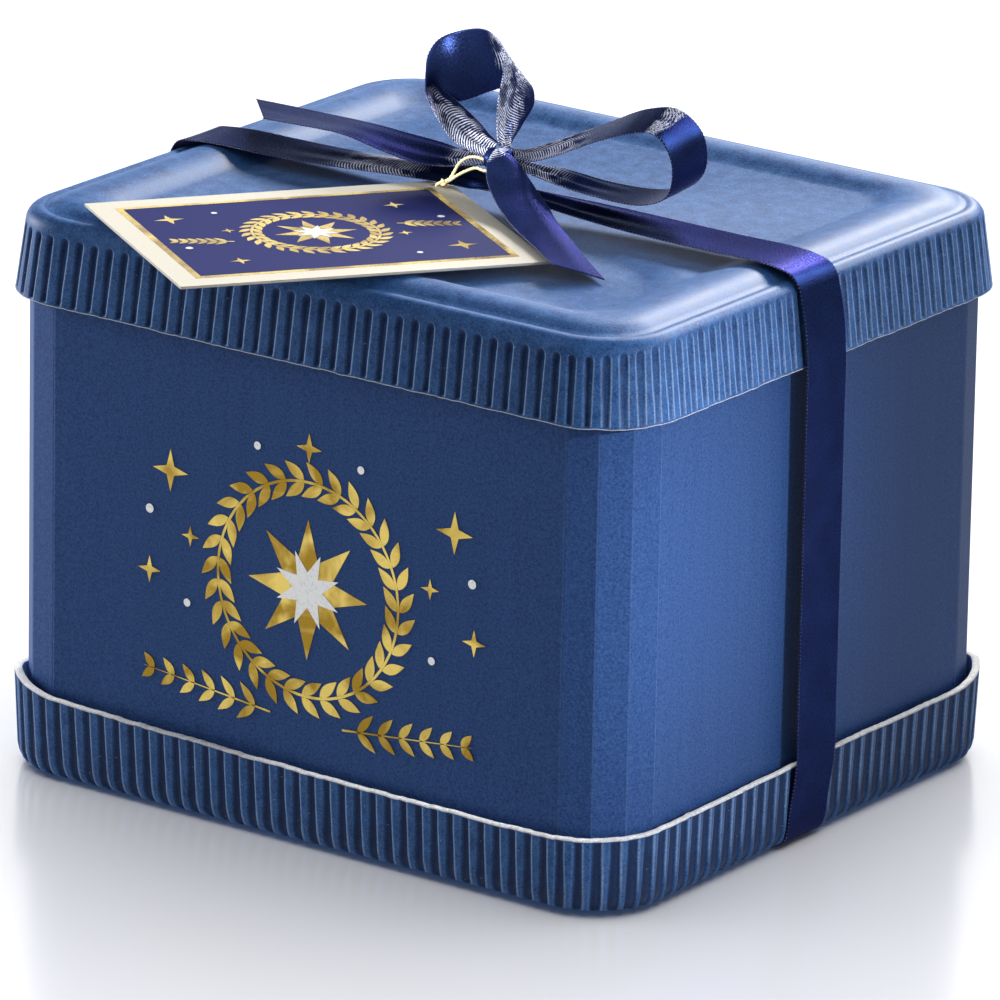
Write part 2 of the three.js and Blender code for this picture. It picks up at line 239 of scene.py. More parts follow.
def set_uv(piece: bpy.types.Object, name: str, values: np.ndarray) -> None:
    """Stores a UV map in which each point of the mesh has one place.

    Args:
        piece: The object with the mesh.
        name: The map's name.
        values: Rows of u and v, one for each point.
    """
    corners = np.zeros(len(piece.data.loops), np.int32)
    piece.data.loops.foreach_get("vertex_index", corners)
    layer = piece.data.uv_layers.new(name=name)
    layer.data.foreach_set("uv", np.asarray(values, np.float32)[corners].ravel())


def baked(piece: bpy.types.Object) -> bpy.types.Object:
    """Turns a piece with modifiers into a plain mesh.

    Args:
        piece: The object whose modifiers are applied.

    Returns:
        The same object with its evaluated mesh and no modifiers.
    """
    graph = bpy.context.evaluated_depsgraph_get()
    graph.update()
    mesh = bpy.data.meshes.new_from_object(piece.evaluated_get(graph), depsgraph=graph)
    piece.modifiers.clear()
    piece.data = mesh
    mesh.name = piece.name
    return piece


def smoothstep(low: float, high: float, value: np.ndarray) -> np.ndarray:
    """Rises smoothly from 0 at low to 1 at high."""
    t = np.clip((np.asarray(value, float) - low) / (high - low), 0, 1)
    return t * t * (3 - 2 * t)


def slow_noise(count: int, knots: int, seed: int, closed: bool = True) -> np.ndarray:
    """Makes a smooth random row of numbers from -1 to 1.

    Args:
        count: How many numbers.
        knots: How many random heights they pass through.
        seed: The generator's seed.
        closed: Whether the row joins up with its own start.

    Returns:
        The numbers.
    """
    heights = np.random.default_rng(seed).uniform(-1, 1, knots)
    places = np.arange(count) * knots / count
    low = places.astype(int)
    after = (low + 1) % knots if closed else np.minimum(low + 1, knots - 1)
    mix = smoothstep(0, 1, places - low)
    return heights[low] * (1 - mix) + heights[after] * mix


class Curve:
    """A Catmull-Rom curve through points, the same as the one the solids are swept along."""

    def __init__(self, points: Sequence[Point], closed: bool = False, centripetal: bool = True) -> None:
        """Keeps the points and the kind of curve."""
        self.points = np.asarray(points, float)
        self.closed = closed
        self.centripetal = centripetal

    def _span(self, number: np.ndarray) -> np.ndarray:
        """Gives the points of these numbers, past the ends too.

        Args:
            number: The points' numbers.

        Returns:
            Rows of the points' values.
        """
        last = len(self.points)
        if self.closed:
            return self.points[number % last]
        inner = self.points[np.clip(number, 0, last - 1)]
        before = 2 * self.points[0] - self.points[1]
        beyond = 2 * self.points[-1] - self.points[-2]
        inner = np.where((number < 0)[:, None], before, inner)
        return np.where((number >= last)[:, None], beyond, inner)

    def at(self, places: np.ndarray) -> np.ndarray:
        """Gives the curve's points.

        Args:
            places: Where along the curve, from 0 to 1.

        Returns:
            Rows of x, y, z.
        """
        spans = len(self.points) if self.closed else len(self.points) - 1
        where = np.atleast_1d(np.asarray(places, float)) * spans
        start = np.floor(where).astype(int)
        if not self.closed:
            start = np.clip(start, 0, spans - 1)
        t = (where - start)[:, None]
        p0, p1, p2, p3 = (self._span(start + step) for step in (-1, 0, 1, 2))
        if self.centripetal:
            gaps = [np.maximum(((b - a) ** 2).sum(1, keepdims=True) ** 0.25, 1e-4)
                    for a, b in ((p0, p1), (p1, p2), (p2, p3))]
            d0, d1, d2 = gaps
            leave = ((p1 - p0) / d0 - (p2 - p0) / (d0 + d1) + (p2 - p1) / d1) * d1
            arrive = ((p2 - p1) / d1 - (p3 - p1) / (d1 + d2) + (p3 - p2) / d2) * d1
        else:
            leave, arrive = (p2 - p0) / 2, (p3 - p1) / 2
        bend = -3 * p1 + 3 * p2 - 2 * leave - arrive
        twist = 2 * p1 - 2 * p2 + leave + arrive
        return p1 + t * (leave + t * (bend + t * twist))

    def direction(self, places: np.ndarray) -> np.ndarray:
        """Gives the curve's unit tangents at these places.

        Args:
            places: Places along the curve, from 0 to 1.

        Returns:
            Unit rows.
        """
        step = 1e-4
        places = np.atleast_1d(np.asarray(places, float))
        low, high = places - step, places + step
        if not self.closed:
            low, high = np.clip(low, 0, 1), np.clip(high, 0, 1)
        run = self.at(high) - self.at(low)
        return run / np.linalg.norm(run, axis=1, keepdims=True)


def unit(rows: np.ndarray) -> np.ndarray:
    """Scales each row to a length of one."""
    return rows / np.maximum(np.linalg.norm(rows, axis=-1, keepdims=True), 1e-9)


def run_of(line: np.ndarray) -> np.ndarray:
    """Gives how far along a line each of its points is."""
    return np.concatenate([[0], np.cumsum(np.linalg.norm(np.diff(line, axis=0), axis=1))])


def round_angles(count: int) -> np.ndarray:
    """Lists angles spread evenly round a circle."""
    return np.arange(count) * 2 * math.pi / count


def polar(reach: np.ndarray | float, angles: np.ndarray) -> np.ndarray:
    """Turns radii and angles into rows of x and y."""
    return np.column_stack([reach * np.cos(angles), reach * np.sin(angles)])


Socket = bpy.types.NodeSocket
Span = tuple[float, float]
WHOLE = (0.0, 1.0)


@dataclass
class Coat:
    """What a finish works out at each place: a share of each further colour, with the part of it
    that is stretched to the whole, the grain of its roughness, its height, and other inputs."""

    colours: Sequence[tuple[Socket, str | Socket, Span]]
    grain: Optional[Socket] = None
    height: Optional[Socket] = None
    inputs: dict = field(default_factory=dict)


@dataclass(frozen=True)
class Finish:
    """A ground colour with one grain in another colour, which may roughen it and stand up from it.
    A finish with more to it has its own coat."""

    name: str = "finish"
    ground: str = "#000000"
    over: str = "#ffffff"
    span: Span = WHOLE
    grain_mm: float = 0.9
    detail: float = 2.0
    harshness: float = 0.5
    roughness: float = 0.5
    swing: Span = (0.0, 0.0)
    swing_span: Span = (0.3, 0.7)
    bump: tuple[float, float] = (0.0, 0.0)
    gloss: Sequence[tuple[str, float | str]] = ()
    uv_map: str = ""
    stretch: Optional[Point] = None

    def per_mm(self, size: float) -> float:
        """Turns the size of a pattern's repeat in millimetres into a texture scale."""
        return 1 / (size * MM)

    def coat(self, tree: bpy.types.NodeTree, place: Socket, grain: Socket) -> Coat:
        """Works out the finish.

        Args:
            tree: The material's tree, not used here.
            place: The place on the object or on its map, not used here.
            grain: The finish's main grain.

        Returns:
            The finish's colours, roughness, height and other inputs.
        """
        return Coat([(grain, self.over, self.span)], grain, grain)

    def material(self) -> bpy.types.Material:
        """Builds the material: colours laid over the ground, roughness, bump and gloss.

        Returns:
            The material.
        """
        material = bpy.data.materials.new(self.name)
        material.use_nodes = True
        tree = material.node_tree
        if self.uv_map:
            place = add_node(tree, "ShaderNodeUVMap", {"uv_map": self.uv_map}).outputs[0]
            scale = 1 / self.grain_mm
        else:
            place = add_node(tree, "ShaderNodeTexCoord").outputs["Object"]
            scale = self.per_mm(self.grain_mm)
        spot = place
        if self.stretch:
            spot = add_node(tree, "ShaderNodeMapping", inputs={
                "Vector": place, "Scale": self.stretch}).outputs[0]
        grain = add_node(tree, "ShaderNodeTexNoise", inputs={
            "Vector": spot, "Scale": scale, "Detail": self.detail, "Roughness": self.harshness})
        coat = self.coat(tree, place, grain.outputs[0])
        colour: Sequence[float] | Socket = linear(self.ground)
        for share, over, span in coat.colours:
            if span != WHOLE:
                share = add_node(tree, "ShaderNodeMapRange", {"clamp": True}, {
                    "Value": share, "From Min": span[0], "From Max": span[1]}).outputs[0]
            over = linear(over) if isinstance(over, str) else over
            colour = add_node(tree, "ShaderNodeMix", {"data_type": "RGBA", "clamp_factor": True}, {
                0: share, 6: colour, 7: over}).outputs[2]
        inputs = {"Base Color": colour, "Roughness": self.roughness, **coat.inputs}
        inputs.update((key, linear(value) if isinstance(value, str) else value)
                      for key, value in self.gloss)
        if any(self.swing):
            inputs["Roughness"] = add_node(tree, "ShaderNodeMapRange", inputs={
                "Value": coat.grain, "From Min": self.swing_span[0], "From Max": self.swing_span[1],
                "To Min": self.roughness - self.swing[0],
                "To Max": self.roughness + self.swing[1]}).outputs[0]
        if any(self.bump):
            inputs["Normal"] = add_node(tree, "ShaderNodeBump", inputs={
                "Strength": self.bump[0], "Distance": self.bump[1] * MM,
                "Height": coat.height}).outputs[0]
        set_inputs(tree.nodes["Principled BSDF"], inputs)
        return material


@dataclass(frozen=True)
class PressedBoardPaper(Finish):
    """Uncoated blue paper laminated on board and pressed hot: a dull sheen, a mottled cloudy dye,
    tiny white fibres, painted shade in the grooves, and crests polished pale where the tool rubbed
    them, which also carry painted highlight."""

    name: str = "blue_paper_pressed"
    ground: str = "#1f477f"
    over: str = "#4a7cbc"
    span: Span = (0.38, 0.62)
    # Painted shade: the colour that the grooves are darkened towards.
    painted_shade: str = "#0f2148"
    # Pale crest colour: rub wear with painted highlight along the groove edges.
    rubbed: str = "#a3bfe8"
    fibre: str = "#dfe8f7"
    grain_mm: float = 0.7
    detail: float = 3.0
    harshness: float = 0.7
    crest: float = 0.9
    cloud_mm: float = 5.0
    cloud_share: float = 0.4
    fleck_mm: float = 3.4
    fleck_size: float = 0.055
    fleck_share: float = 0.45
    roughness: float = 0.48
    swing: Span = (0.06, 0.08)
    bump: tuple[float, float] = (0.35, 0.05)
    gloss: Sequence[tuple[str, float | str]] = (
        ("IOR", 1.47), ("Specular IOR Level", 0.27), ("Sheen Weight", 0.06), ("Sheen Roughness", 0.4),
        ("Sheen Tint", "#bcd2f6"))

    def coat(self, tree: bpy.types.NodeTree, place: Socket, grain: Socket) -> Coat:
        """Works out the mottled dye, the painted shade in the grooves, the pale crests of rub wear and
        painted highlight, and the fibres.

        Args:
            tree: The material's tree.
            place: The place on the object or on its map.
            grain: The finish's main grain.

        Returns:
            Its colours, roughness, height and other inputs.
        """
        cloud = add_node(tree, "ShaderNodeTexNoise", inputs={
            "Vector": place, "Scale": self.per_mm(self.cloud_mm), "Detail": 5.0, "Roughness": 0.65})
        clouded = math_chain(tree, cloud.outputs[0], ("MULTIPLY", self.cloud_share))
        mottle = math_chain(tree, grain, ("MULTIPLY_ADD", 1 - self.cloud_share, clouded))
        groove, crest = (
            add_node(tree, "ShaderNodeAttribute", {"attribute_name": name}).outputs["Fac"]
            for name in ("groove", "crest"))
        # Painted shade: the grooves darken towards the shade colour by the stored groove value.
        hollow = math_chain(tree, groove, ("MULTIPLY", self.crest))
        # Pale crest lines: rub wear, with painted highlight where the light catches the groove edges.
        worn = math_chain(tree, crest, ("MULTIPLY", grain), ("MULTIPLY", 2 * self.crest))
        flecks = add_node(tree, "ShaderNodeTexVoronoi", {"feature": "F1"}, {
            "Vector": place, "Scale": self.per_mm(self.fleck_mm)})
        fleck = math_chain(tree, flecks.outputs["Distance"], ("LESS_THAN", self.fleck_size),
                           ("MULTIPLY", self.fleck_share))
        return Coat([(mottle, self.over, self.span), (hollow, self.painted_shade, WHOLE),
                     (worn, self.rubbed, WHOLE), (fleck, self.fibre, WHOLE)], mottle, mottle)


@dataclass(frozen=True)
class PrintedSleeve(Finish):
    """Blue-printed card of the body: flatter and darker than the pressed board, with the fine
    upright streaks of the sheet's grain and creases a little rubbed."""

    name: str = "blue_card_sleeve"
    ground: str = "#27467f"
    over: str = "#466dac"
    span: Span = (0.36, 0.64)
    rubbed: str = "#6483b8"
    wear: float = 0.7
    grain_mm: float = 0.8
    detail: float = 4.0
    harshness: float = 0.75
    streak_mm: float = 2.4
    streak_share: float = 0.08
    streak_squash: float = 0.03
    swing: Span = (0.05, 0.07)
    bump: tuple[float, float] = (0.3, 0.04)
    gloss: Sequence[tuple[str, float | str]] = (
        ("IOR", 1.47), ("Specular IOR Level", 0.2), ("Sheen Weight", 0.12), ("Sheen Roughness", 0.4),
        ("Sheen Tint", "#b7c9ec"))

    def coat(self, tree: bpy.types.NodeTree, place: Socket, grain: Socket) -> Coat:
        """Works out the streaked dye and the rubbed creases.

        Args:
            tree: The material's tree.
            place: The place on the object or on its map.
            grain: The finish's main grain.

        Returns:
            Its colours, roughness, height and other inputs.
        """
        upright = add_node(tree, "ShaderNodeMapping", {"vector_type": "POINT"}, {
            "Vector": place, "Scale": (1.0, 1.0, self.streak_squash)})
        streak = add_node(tree, "ShaderNodeTexNoise", inputs={
            "Vector": upright.outputs[0], "Scale": self.per_mm(self.streak_mm), "Detail": 3.0})
        streaked = math_chain(tree, streak.outputs[0], ("MULTIPLY", self.streak_share))
        mixed = math_chain(tree, grain, ("MULTIPLY_ADD", 1 - self.streak_share, streaked))
        crease = add_node(tree, "ShaderNodeAttribute", {"attribute_name": "crest"}).outputs["Fac"]
        worn = math_chain(tree, crease, ("MULTIPLY", grain), ("MULTIPLY", self.wear))
        return Coat([(mixed, self.over, self.span), (worn, self.rubbed, WHOLE)], grain, mixed)


@dataclass(frozen=True)
class SatinWeave(Finish):
    """Double-faced polyester satin: long floats along the ribbon break into short bars across it, which
    vary its roughness and bump and are painted lighter as sheen, on a dye that is nearly black out of
    the light. The real threads are 0.15 mm apart, too fine to show here, so the bars are drawn 0.55 mm
    apart. Where the knot pulls the weave it rucks into curved rungs; pale rungs are painted there and
    at other given places as glints, speckled in places and brightest in patches."""

    name: str = "navy_satin"
    uv_map: str = RIBBON_UV
    ground: str = "#161d39"
    # Lift colour of the painted sheen on the weave's bars.
    over: str = "#263564"
    # Painted glint: the near-white colour of the rungs where the satin catches the light.
    painted_glint: str = "#e8ecff"
    metal: float = 0.45
    grain_mm: float = 1.0
    stretch: Optional[Point] = (1 / 0.55, 1 / 0.8, 1.0)
    detail: float = 1.0
    cloth_scale: float = 0.09
    rung_mm: float = 1.05
    rung_bow: float = 0.035
    rung_lift: float = 0.45
    rung_height: float = 1.1
    rung_waver: float = 3.0
    # How far painted glints break into speckle where the speckle attribute is set.
    glint_speckle_waver: float = 9.0
    rung_edge: Span = (0.18, 0.55)
    patch_scale: float = 0.17
    patch_edge: Span = (0.38, 0.56)
    between_patches: float = 0.35
    roughness: float = 0.3
    swing: Span = (0.08, 0.1)
    bump: tuple[float, float] = (0.55, 0.16)
    gloss: Sequence[tuple[str, float | str]] = (
        ("Specular IOR Level", 0.02), ("Anisotropic", 0.35), ("Specular Tint", "#8399cd"))

    def coat(self, tree: bpy.types.NodeTree, place: Socket, grain: Socket) -> Coat:
        """Works out the bars of the weave with their painted sheen, and the rungs that the knot pulls
        it into with their painted glints.

        Args:
            tree: The material's tree.
            place: The place on the object or on its map.
            grain: The finish's main grain.

        Returns:
            Its colours, roughness, height and other inputs.
        """
        cloth = add_node(tree, "ShaderNodeTexNoise", inputs={
            "Vector": place, "Scale": self.cloth_scale, "Detail": 2.0})
        # Painted sheen: the weave's bars are painted lighter in random patches.
        lit = math_chain(tree, grain, ("MULTIPLY", cloth.outputs[0]), ("MULTIPLY", 2.0))
        parts = add_node(tree, "ShaderNodeSeparateXYZ", inputs={0: place})
        bow = math_chain(tree, parts.outputs[1], ("POWER", 2.0), ("MULTIPLY", self.rung_bow),
                         ("ADD", parts.outputs[0]), ("MULTIPLY", 2 * math.pi / self.rung_mm))
        # ladder places the rucked weave and the painted glints; speckle breaks the glints into specks.
        glint_speckle, ruck_and_glint = (
            add_node(tree, "ShaderNodeAttribute", {"attribute_name": name}).outputs["Fac"]
            for name in ("speckle", "ladder"))
        wander = math_chain(tree, glint_speckle, ("MULTIPLY", self.glint_speckle_waver), ("ADD", self.rung_waver),
                            ("MULTIPLY", grain), ("ADD", bow), ("SINE",))
        patch = add_node(tree, "ShaderNodeTexNoise", inputs={
            "Vector": place, "Scale": self.patch_scale, "Detail": 1.0})
        patches = add_node(tree, "ShaderNodeMapRange", {"interpolation_type": "SMOOTHSTEP"}, {
            "Value": patch.outputs[0], "From Min": self.patch_edge[0], "From Max": self.patch_edge[1],
            "To Min": self.between_patches, "To Max": 1.0})
        mask = math_chain(tree, ruck_and_glint, ("MULTIPLY", patches.outputs[0]))
        rungs = math_chain(tree, wander, ("ADD", self.rung_lift), ("MULTIPLY", mask),
                           ("MULTIPLY", self.rung_height))
        # Painted glint: the highest rungs turn near-white and lose their metal.
        raised = add_node(tree, "ShaderNodeMapRange", {"clamp": True}, {
            "Value": rungs, "From Min": self.rung_edge[0], "From Max": self.rung_edge[1]}).outputs[0]
        shine = math_chain(tree, raised, ("MULTIPLY", -self.metal), ("ADD", self.metal))
        along = add_node(tree, "ShaderNodeTangent", {"direction_type": "UV_MAP", "uv_map": RIBBON_UV})
        return Coat([(lit, self.over, WHOLE), (raised, self.painted_glint, WHOLE)], grain,
                    math_chain(tree, grain, ("ADD", rungs)),
                    {"Metallic": shine, "Tangent": along.outputs[0]})


@dataclass(frozen=True)
class HotFoil(Finish):
    """Hot-stamped gold foil: a mirror on slightly uneven paper, with bright and olive-dark patches of
    painted reflection lying side by side in its colour."""

    name: str = "gold_foil"
    # Olive-dark and bright gold of the painted reflection patches.
    ground: str = "#a98730"
    over: str = "#f3d774"
    span: Span = (0.38, 0.6)
    grain_mm: float = 0.8
    detail: float = 3.0
    painted_reflection_mm: float = 14.0
    roughness: float = 0.26
    swing: Span = (0.05, 0.12)
    swing_span: Span = WHOLE
    bump: tuple[float, float] = (0.3, 0.05)
    gloss: Sequence[tuple[str, float | str]] = (("Metallic", 1.0),)

    def coat(self, tree: bpy.types.NodeTree, place: Socket, grain: Socket) -> Coat:
        """Works out the patches of painted reflection and the grain of the paper beneath.

        Args:
            tree: The material's tree.
            place: The place on the object or on its map.
            grain: The finish's main grain.

        Returns:
            Its colours, roughness, height and other inputs.
        """
        # Painted reflection: large patches of bright and dark gold in the foil's colour.
        patch = add_node(tree, "ShaderNodeTexNoise", inputs={
            "Vector": place, "Scale": self.per_mm(self.painted_reflection_mm), "Detail": 3.0, "Distortion": 0.6})
        return Coat([(patch.outputs[0], self.over, self.span)], grain, grain)


@dataclass(frozen=True)
class TagCard(Finish):
    """Smooth cream card with a printed blue field, drawn on the card's own map in millimetres from
    its middle."""

    name: str = "printed_tag_card"
    uv_map: str = CARD_UV
    ground: str = "#e2dac6"
    over: str = "#f4efe0"
    field_blue: str = "#1a2366"
    field_light: str = "#232d75"
    half_field: tuple[float, float] = FIELD_HALF
    grain_mm: float = 1 / 0.9
    detail: float = 4.0
    harshness: float = 0.7
    roughness: float = 0.45
    bump: tuple[float, float] = (0.2, 0.03)
    gloss: Sequence[tuple[str, float | str]] = (("IOR", 1.5), ("Specular IOR Level", 0.08))

    def coat(self, tree: bpy.types.NodeTree, place: Socket, grain: Socket) -> Coat:
        """Works out the cream card and the field printed on it.

        Args:
            tree: The material's tree.
            place: The place on the object or on its map.
            grain: The finish's main grain.

        Returns:
            Its colours, roughness, height and other inputs.
        """
        parts = add_node(tree, "ShaderNodeSeparateXYZ", inputs={0: place})
        across, inside = (math_chain(tree, parts.outputs[axis], ("ABSOLUTE",), ("LESS_THAN", half))
                          for axis, half in enumerate(self.half_field))
        printed = math_chain(tree, inside, ("MULTIPLY", across))
        ink = add_node(tree, "ShaderNodeMix", {"data_type": "RGBA"}, {
            0: grain, 6: linear(self.field_blue), 7: linear(self.field_light)})
        return Coat([(grain, self.over, WHOLE), (printed, ink.outputs[2], WHOLE)], grain, grain)


class PlainFinish(Enum):
    """The finishes with one grain and nothing more."""

    # Cut edge of grey pulp board: pale, matt and fibrous, with darker pits.
    RAW_BOARD_EDGE = Finish("grey_board_edge", "#cfcfd0", "#fbfbfa", (0.36, 0.56), 0.9, 6.0, 0.8, 0.85,
                            bump=(0.8, 0.15), gloss=(("IOR", 1.45),))
    # Twisted thread along the ribbon's edges: lighter than the satin where it turns to the light.
    SELVEDGE_THREAD = Finish("navy_selvedge", "#2b2f6e", "#6c74bd", roughness=0.45,
                             gloss=(("IOR", 1.53), ("Sheen Weight", 0.4)))
    # Screened white ink: chalky, with the grain of the card showing a little through it.
    OPAQUE_INK = Finish("white_ink", "#cfd4de", "#f3f3f0", (0.3, 0.5), 0.9, 4.0, 0.7,
                        gloss=(("IOR", 1.5),))
    # Metallised thread spun round a core: gold with fine dark turns between the strands.
    GILT_THREAD = Finish("gilt_thread", "#ecd488", "#fff8cf", grain_mm=0.5, roughness=0.35,
                         bump=(0.5, 0.1), gloss=(("Metallic", 0.1),))
    # Polished white sheet that the box stands on: it mirrors the box faintly at a low angle.
    PALE_ACRYLIC = Finish("pale_floor", "#ededf0", "#f4f4f6", grain_mm=400.0, roughness=0.2,
                          gloss=(("IOR", 1.45), ("Metallic", 0.22)))


class RepeatTree:
    """A Geometry Nodes tree with named inputs, and the way to put it on an object."""

    def __init__(self, name: str) -> None:
        """Starts an empty tree."""
        self.tree = bpy.data.node_groups.new(name, "GeometryNodeTree")
        self.tree.interface.new_socket("Geometry", in_out="INPUT", socket_type="NodeSocketGeometry")
        self.tree.interface.new_socket("Geometry", in_out="OUTPUT", socket_type="NodeSocketGeometry")
        self.sockets: dict[str, str] = {}
        self.entry = self.tree.nodes.new("NodeGroupInput")

    def input(self, name: str, kind: str) -> None:
        """Adds a named input of one kind, such as Float or Material."""
        made = self.tree.interface.new_socket(name, in_out="INPUT", socket_type="NodeSocket" + kind)
        self.sockets[name] = made.identifier

    def finish(self, geometry: bpy.types.NodeSocket, extra: Sequence[tuple] = ()) -> None:
        """Ends the tree by realising its instances and setting its materials.

        Args:
            geometry: The tree's last geometry.
            extra: A material input's name and a selection, for parts with another material.
        """
        solid = add_node(self.tree, "GeometryNodeRealizeInstances", inputs={0: geometry})
        last = add_node(self.tree, "GeometryNodeSetMaterial", inputs={
            "Geometry": solid.outputs[0], "Material": self.entry.outputs["Material"]})
        for name, selection in extra:
            last = add_node(self.tree, "GeometryNodeSetMaterial", inputs={
                "Geometry": last.outputs[0], "Selection": selection,
                "Material": self.entry.outputs[name]})
        add_node(self.tree, "NodeGroupOutput", inputs={0: last.outputs[0]})

    def put_on(self, piece: bpy.types.Object, **values: object) -> bpy.types.Object:
        """Runs the tree on a piece and keeps its result as a plain mesh.

        Args:
            piece: The object that the tree starts from.
            values: Inputs by name, with underscores for spaces.

        Returns:
            The piece with the tree's mesh.
        """
        modifier = piece.modifiers.new(self.tree.name, "NODES")
        modifier.node_group = self.tree
        for name, value in values.items():
            modifier[self.sockets[name.replace("_", " ")]] = value
        return baked(piece)


class FluteTree(RepeatTree):
    """Presses the grooves between the ribs of a dish's wall. It reads each point's place in flutes,
    its height above the open edge, its outward direction, how far it belongs to the wall, and how
    far the light from the right reaches it. It stores painted shade for each groove, and pale edge
    lines that are partly rub wear and partly painted highlight. Numbers are millimetres or shares
    of one."""

    NUMBERS = ("Pitch", "Depth", "Groove Half", "Tip Rise", "Step Rise", "Lip", "Waver", "Fade", "Seed")
    SOFT = {"interpolation_type": "SMOOTHSTEP"}
    STORED = {"data_type": "FLOAT", "domain": "POINT"}
    REST = (("MULTIPLY", -1.0), ("ADD", 1.0))
    WAVER_PER_FLUTE, WAVER_UP = 1.3, 0.09
    # On the wall that the light from the right reaches, the tips rise, the grooves are shallower and
    # their painted shade is weaker.
    LIT_TIP, LIT_FLAT, LIT_DIM = 2.2, 0.4, 0.7
    FOOT_RISE, FOOT_SHARE = 4.0, 0.8
    GROOVE_SPAN = (-0.9, 0.16)
    LIP_SPAN, STEP_SPAN, TIP_SPAN = 0.8, 0.9, 1.6
    STEP_SHARE, TIP_SHARE, NEAR_SHARE = 0.72, 0.15, 0.85
    # Where the pale edge line of rub wear and painted highlight sits, and its half width.
    CREST_AT, CREST_HALF = 0.12, 0.4
    SHADE_SPAN = (0.4, 0.66)

    def __init__(self) -> None:
        """Builds the tree."""
        super().__init__("press_flutes")
        for name in self.NUMBERS:
            self.input(name, "Float")
        self.input("Material", "Material")
        self.input("Raw Edge", "Material")
        tree, given = self.tree, self.entry.outputs
        number, rise, wall, raw, lit, broad, outward = (
            add_node(tree, "GeometryNodeInputNamedAttribute", {"data_type": kind}, {0: name}).outputs[0]
            for name, kind in [*((name, "FLOAT") for name in (
                "flute", "rise", "wall", "raw", "lit", "broad")), ("outward", "FLOAT_VECTOR")])
        where = add_node(tree, "ShaderNodeCombineXYZ", inputs={
            "X": math_chain(tree, number, ("MULTIPLY", self.WAVER_PER_FLUTE)),
            "Y": math_chain(tree, rise, ("MULTIPLY", self.WAVER_UP)), "Z": given["Seed"]})
        waver = add_node(tree, "ShaderNodeTexNoise", {"noise_dimensions": "3D"}, {
            "Vector": where.outputs[0], "Scale": 1.0, "Detail": 1.0}).outputs[0]
        in_flute = math_chain(tree, number, ("FRACT",))
        aside = math_chain(tree, in_flute, ("SUBTRACT", 0.5), ("ABSOLUTE",),
                           ("MULTIPLY", given["Pitch"]), ("POWER", 2.0))
        tip_rise = math_chain(tree, lit, ("MULTIPLY", self.LIT_TIP), ("ADD", given["Tip Rise"]))
        above = math_chain(tree, rise, ("SUBTRACT", tip_rise), ("MAXIMUM", 0.0), ("POWER", 2.0))
        away = math_chain(tree, aside, ("ADD", above), ("SQRT",))
        taper = add_node(tree, "ShaderNodeMapRange", self.SOFT, {
            "Value": rise, "From Min": self.FOOT_RISE, "From Max": given["Step Rise"],
            "To Min": self.FOOT_SHARE, "To Max": 1.0}).outputs[0]
        half = math_chain(tree, broad, ("MULTIPLY", taper), ("MULTIPLY", given["Groove Half"]))
        spread = math_chain(tree, waver, ("SUBTRACT", 0.5), ("MULTIPLY", given["Waver"]),
                            ("ADD", away), ("SUBTRACT", half))
        groove = add_node(tree, "ShaderNodeMapRange", self.SOFT, {
            "Value": spread, "From Min": self.GROOVE_SPAN[0], "From Max": self.GROOVE_SPAN[1],
            "To Min": 1.0, "To Max": 0.0}).outputs[0]
        lip, step, tip = (add_node(tree, "ShaderNodeMapRange", self.SOFT, {
            "Value": rise, "From Min": low, "From Max": math_chain(tree, low, ("ADD", span)),
            "To Min": share_low, "To Max": share_high}).outputs[0]
            for low, span, share_low, share_high in (
                (given["Lip"], self.LIP_SPAN, 0.0, 1.0),
                (given["Step Rise"], self.STEP_SPAN, self.STEP_SHARE, 1.0),
                (tip_rise, self.TIP_SPAN, 1.0, self.TIP_SHARE)))
        sunk = math_chain(tree, groove, ("MULTIPLY", lip), ("MULTIPLY", wall))
        shallow = math_chain(tree, lit, ("MULTIPLY", self.LIT_FLAT), ("SUBTRACT", 1.0))
        shift = math_chain(tree, sunk, ("MULTIPLY", step), ("MULTIPLY", given["Depth"]),
                           ("MULTIPLY", shallow))
        move = add_node(tree, "ShaderNodeVectorMath", {"operation": "SCALE"},
                        {0: outward, "Scale": shift})
        pressed = add_node(tree, "GeometryNodeSetPosition", inputs={
            "Geometry": given["Geometry"], "Offset": move.outputs[0]})
        # Pale edge lines of rub wear and painted highlight: on the wall that the light from the right
        # reaches both edges of a groove get them, elsewhere mostly the far edge.
        edge = add_node(tree, "ShaderNodeMapRange", {"clamp": True}, {
            "Value": math_chain(tree, spread, ("SUBTRACT", self.CREST_AT), ("ABSOLUTE",)),
            "From Min": 0.0, "From Max": self.CREST_HALF, "To Min": 1.0, "To Max": 0.0}).outputs[0]
        near_side = math_chain(tree, in_flute, ("LESS_THAN", 0.5), ("MULTIPLY", self.NEAR_SHARE))
        highlit_edges = math_chain(tree, lit, *self.REST, ("MULTIPLY", near_side), *self.REST)
        rubbed = math_chain(tree, edge, ("MULTIPLY", lip), ("MULTIPLY", wall), ("MULTIPLY", highlit_edges),
                            ("MULTIPLY", tip))
        # Painted shade for each groove: darkest at its tip and near edge, fading across it, and weaker
        # on the wall that the light from the right reaches.
        across = add_node(tree, "ShaderNodeMapRange", self.SOFT, {
            "Value": in_flute, "From Min": self.SHADE_SPAN[0], "From Max": self.SHADE_SPAN[1],
            "To Min": 1.0, "To Max": given["Fade"]}).outputs[0]
        at_tip = math_chain(tree, tip, *self.REST)
        dim = math_chain(tree, lit, ("MULTIPLY", -self.LIT_DIM), ("ADD", 1.0))
        shaded = math_chain(tree, across, ("MAXIMUM", at_tip), ("MULTIPLY", sunk), ("MULTIPLY", dim))
        marked = pressed
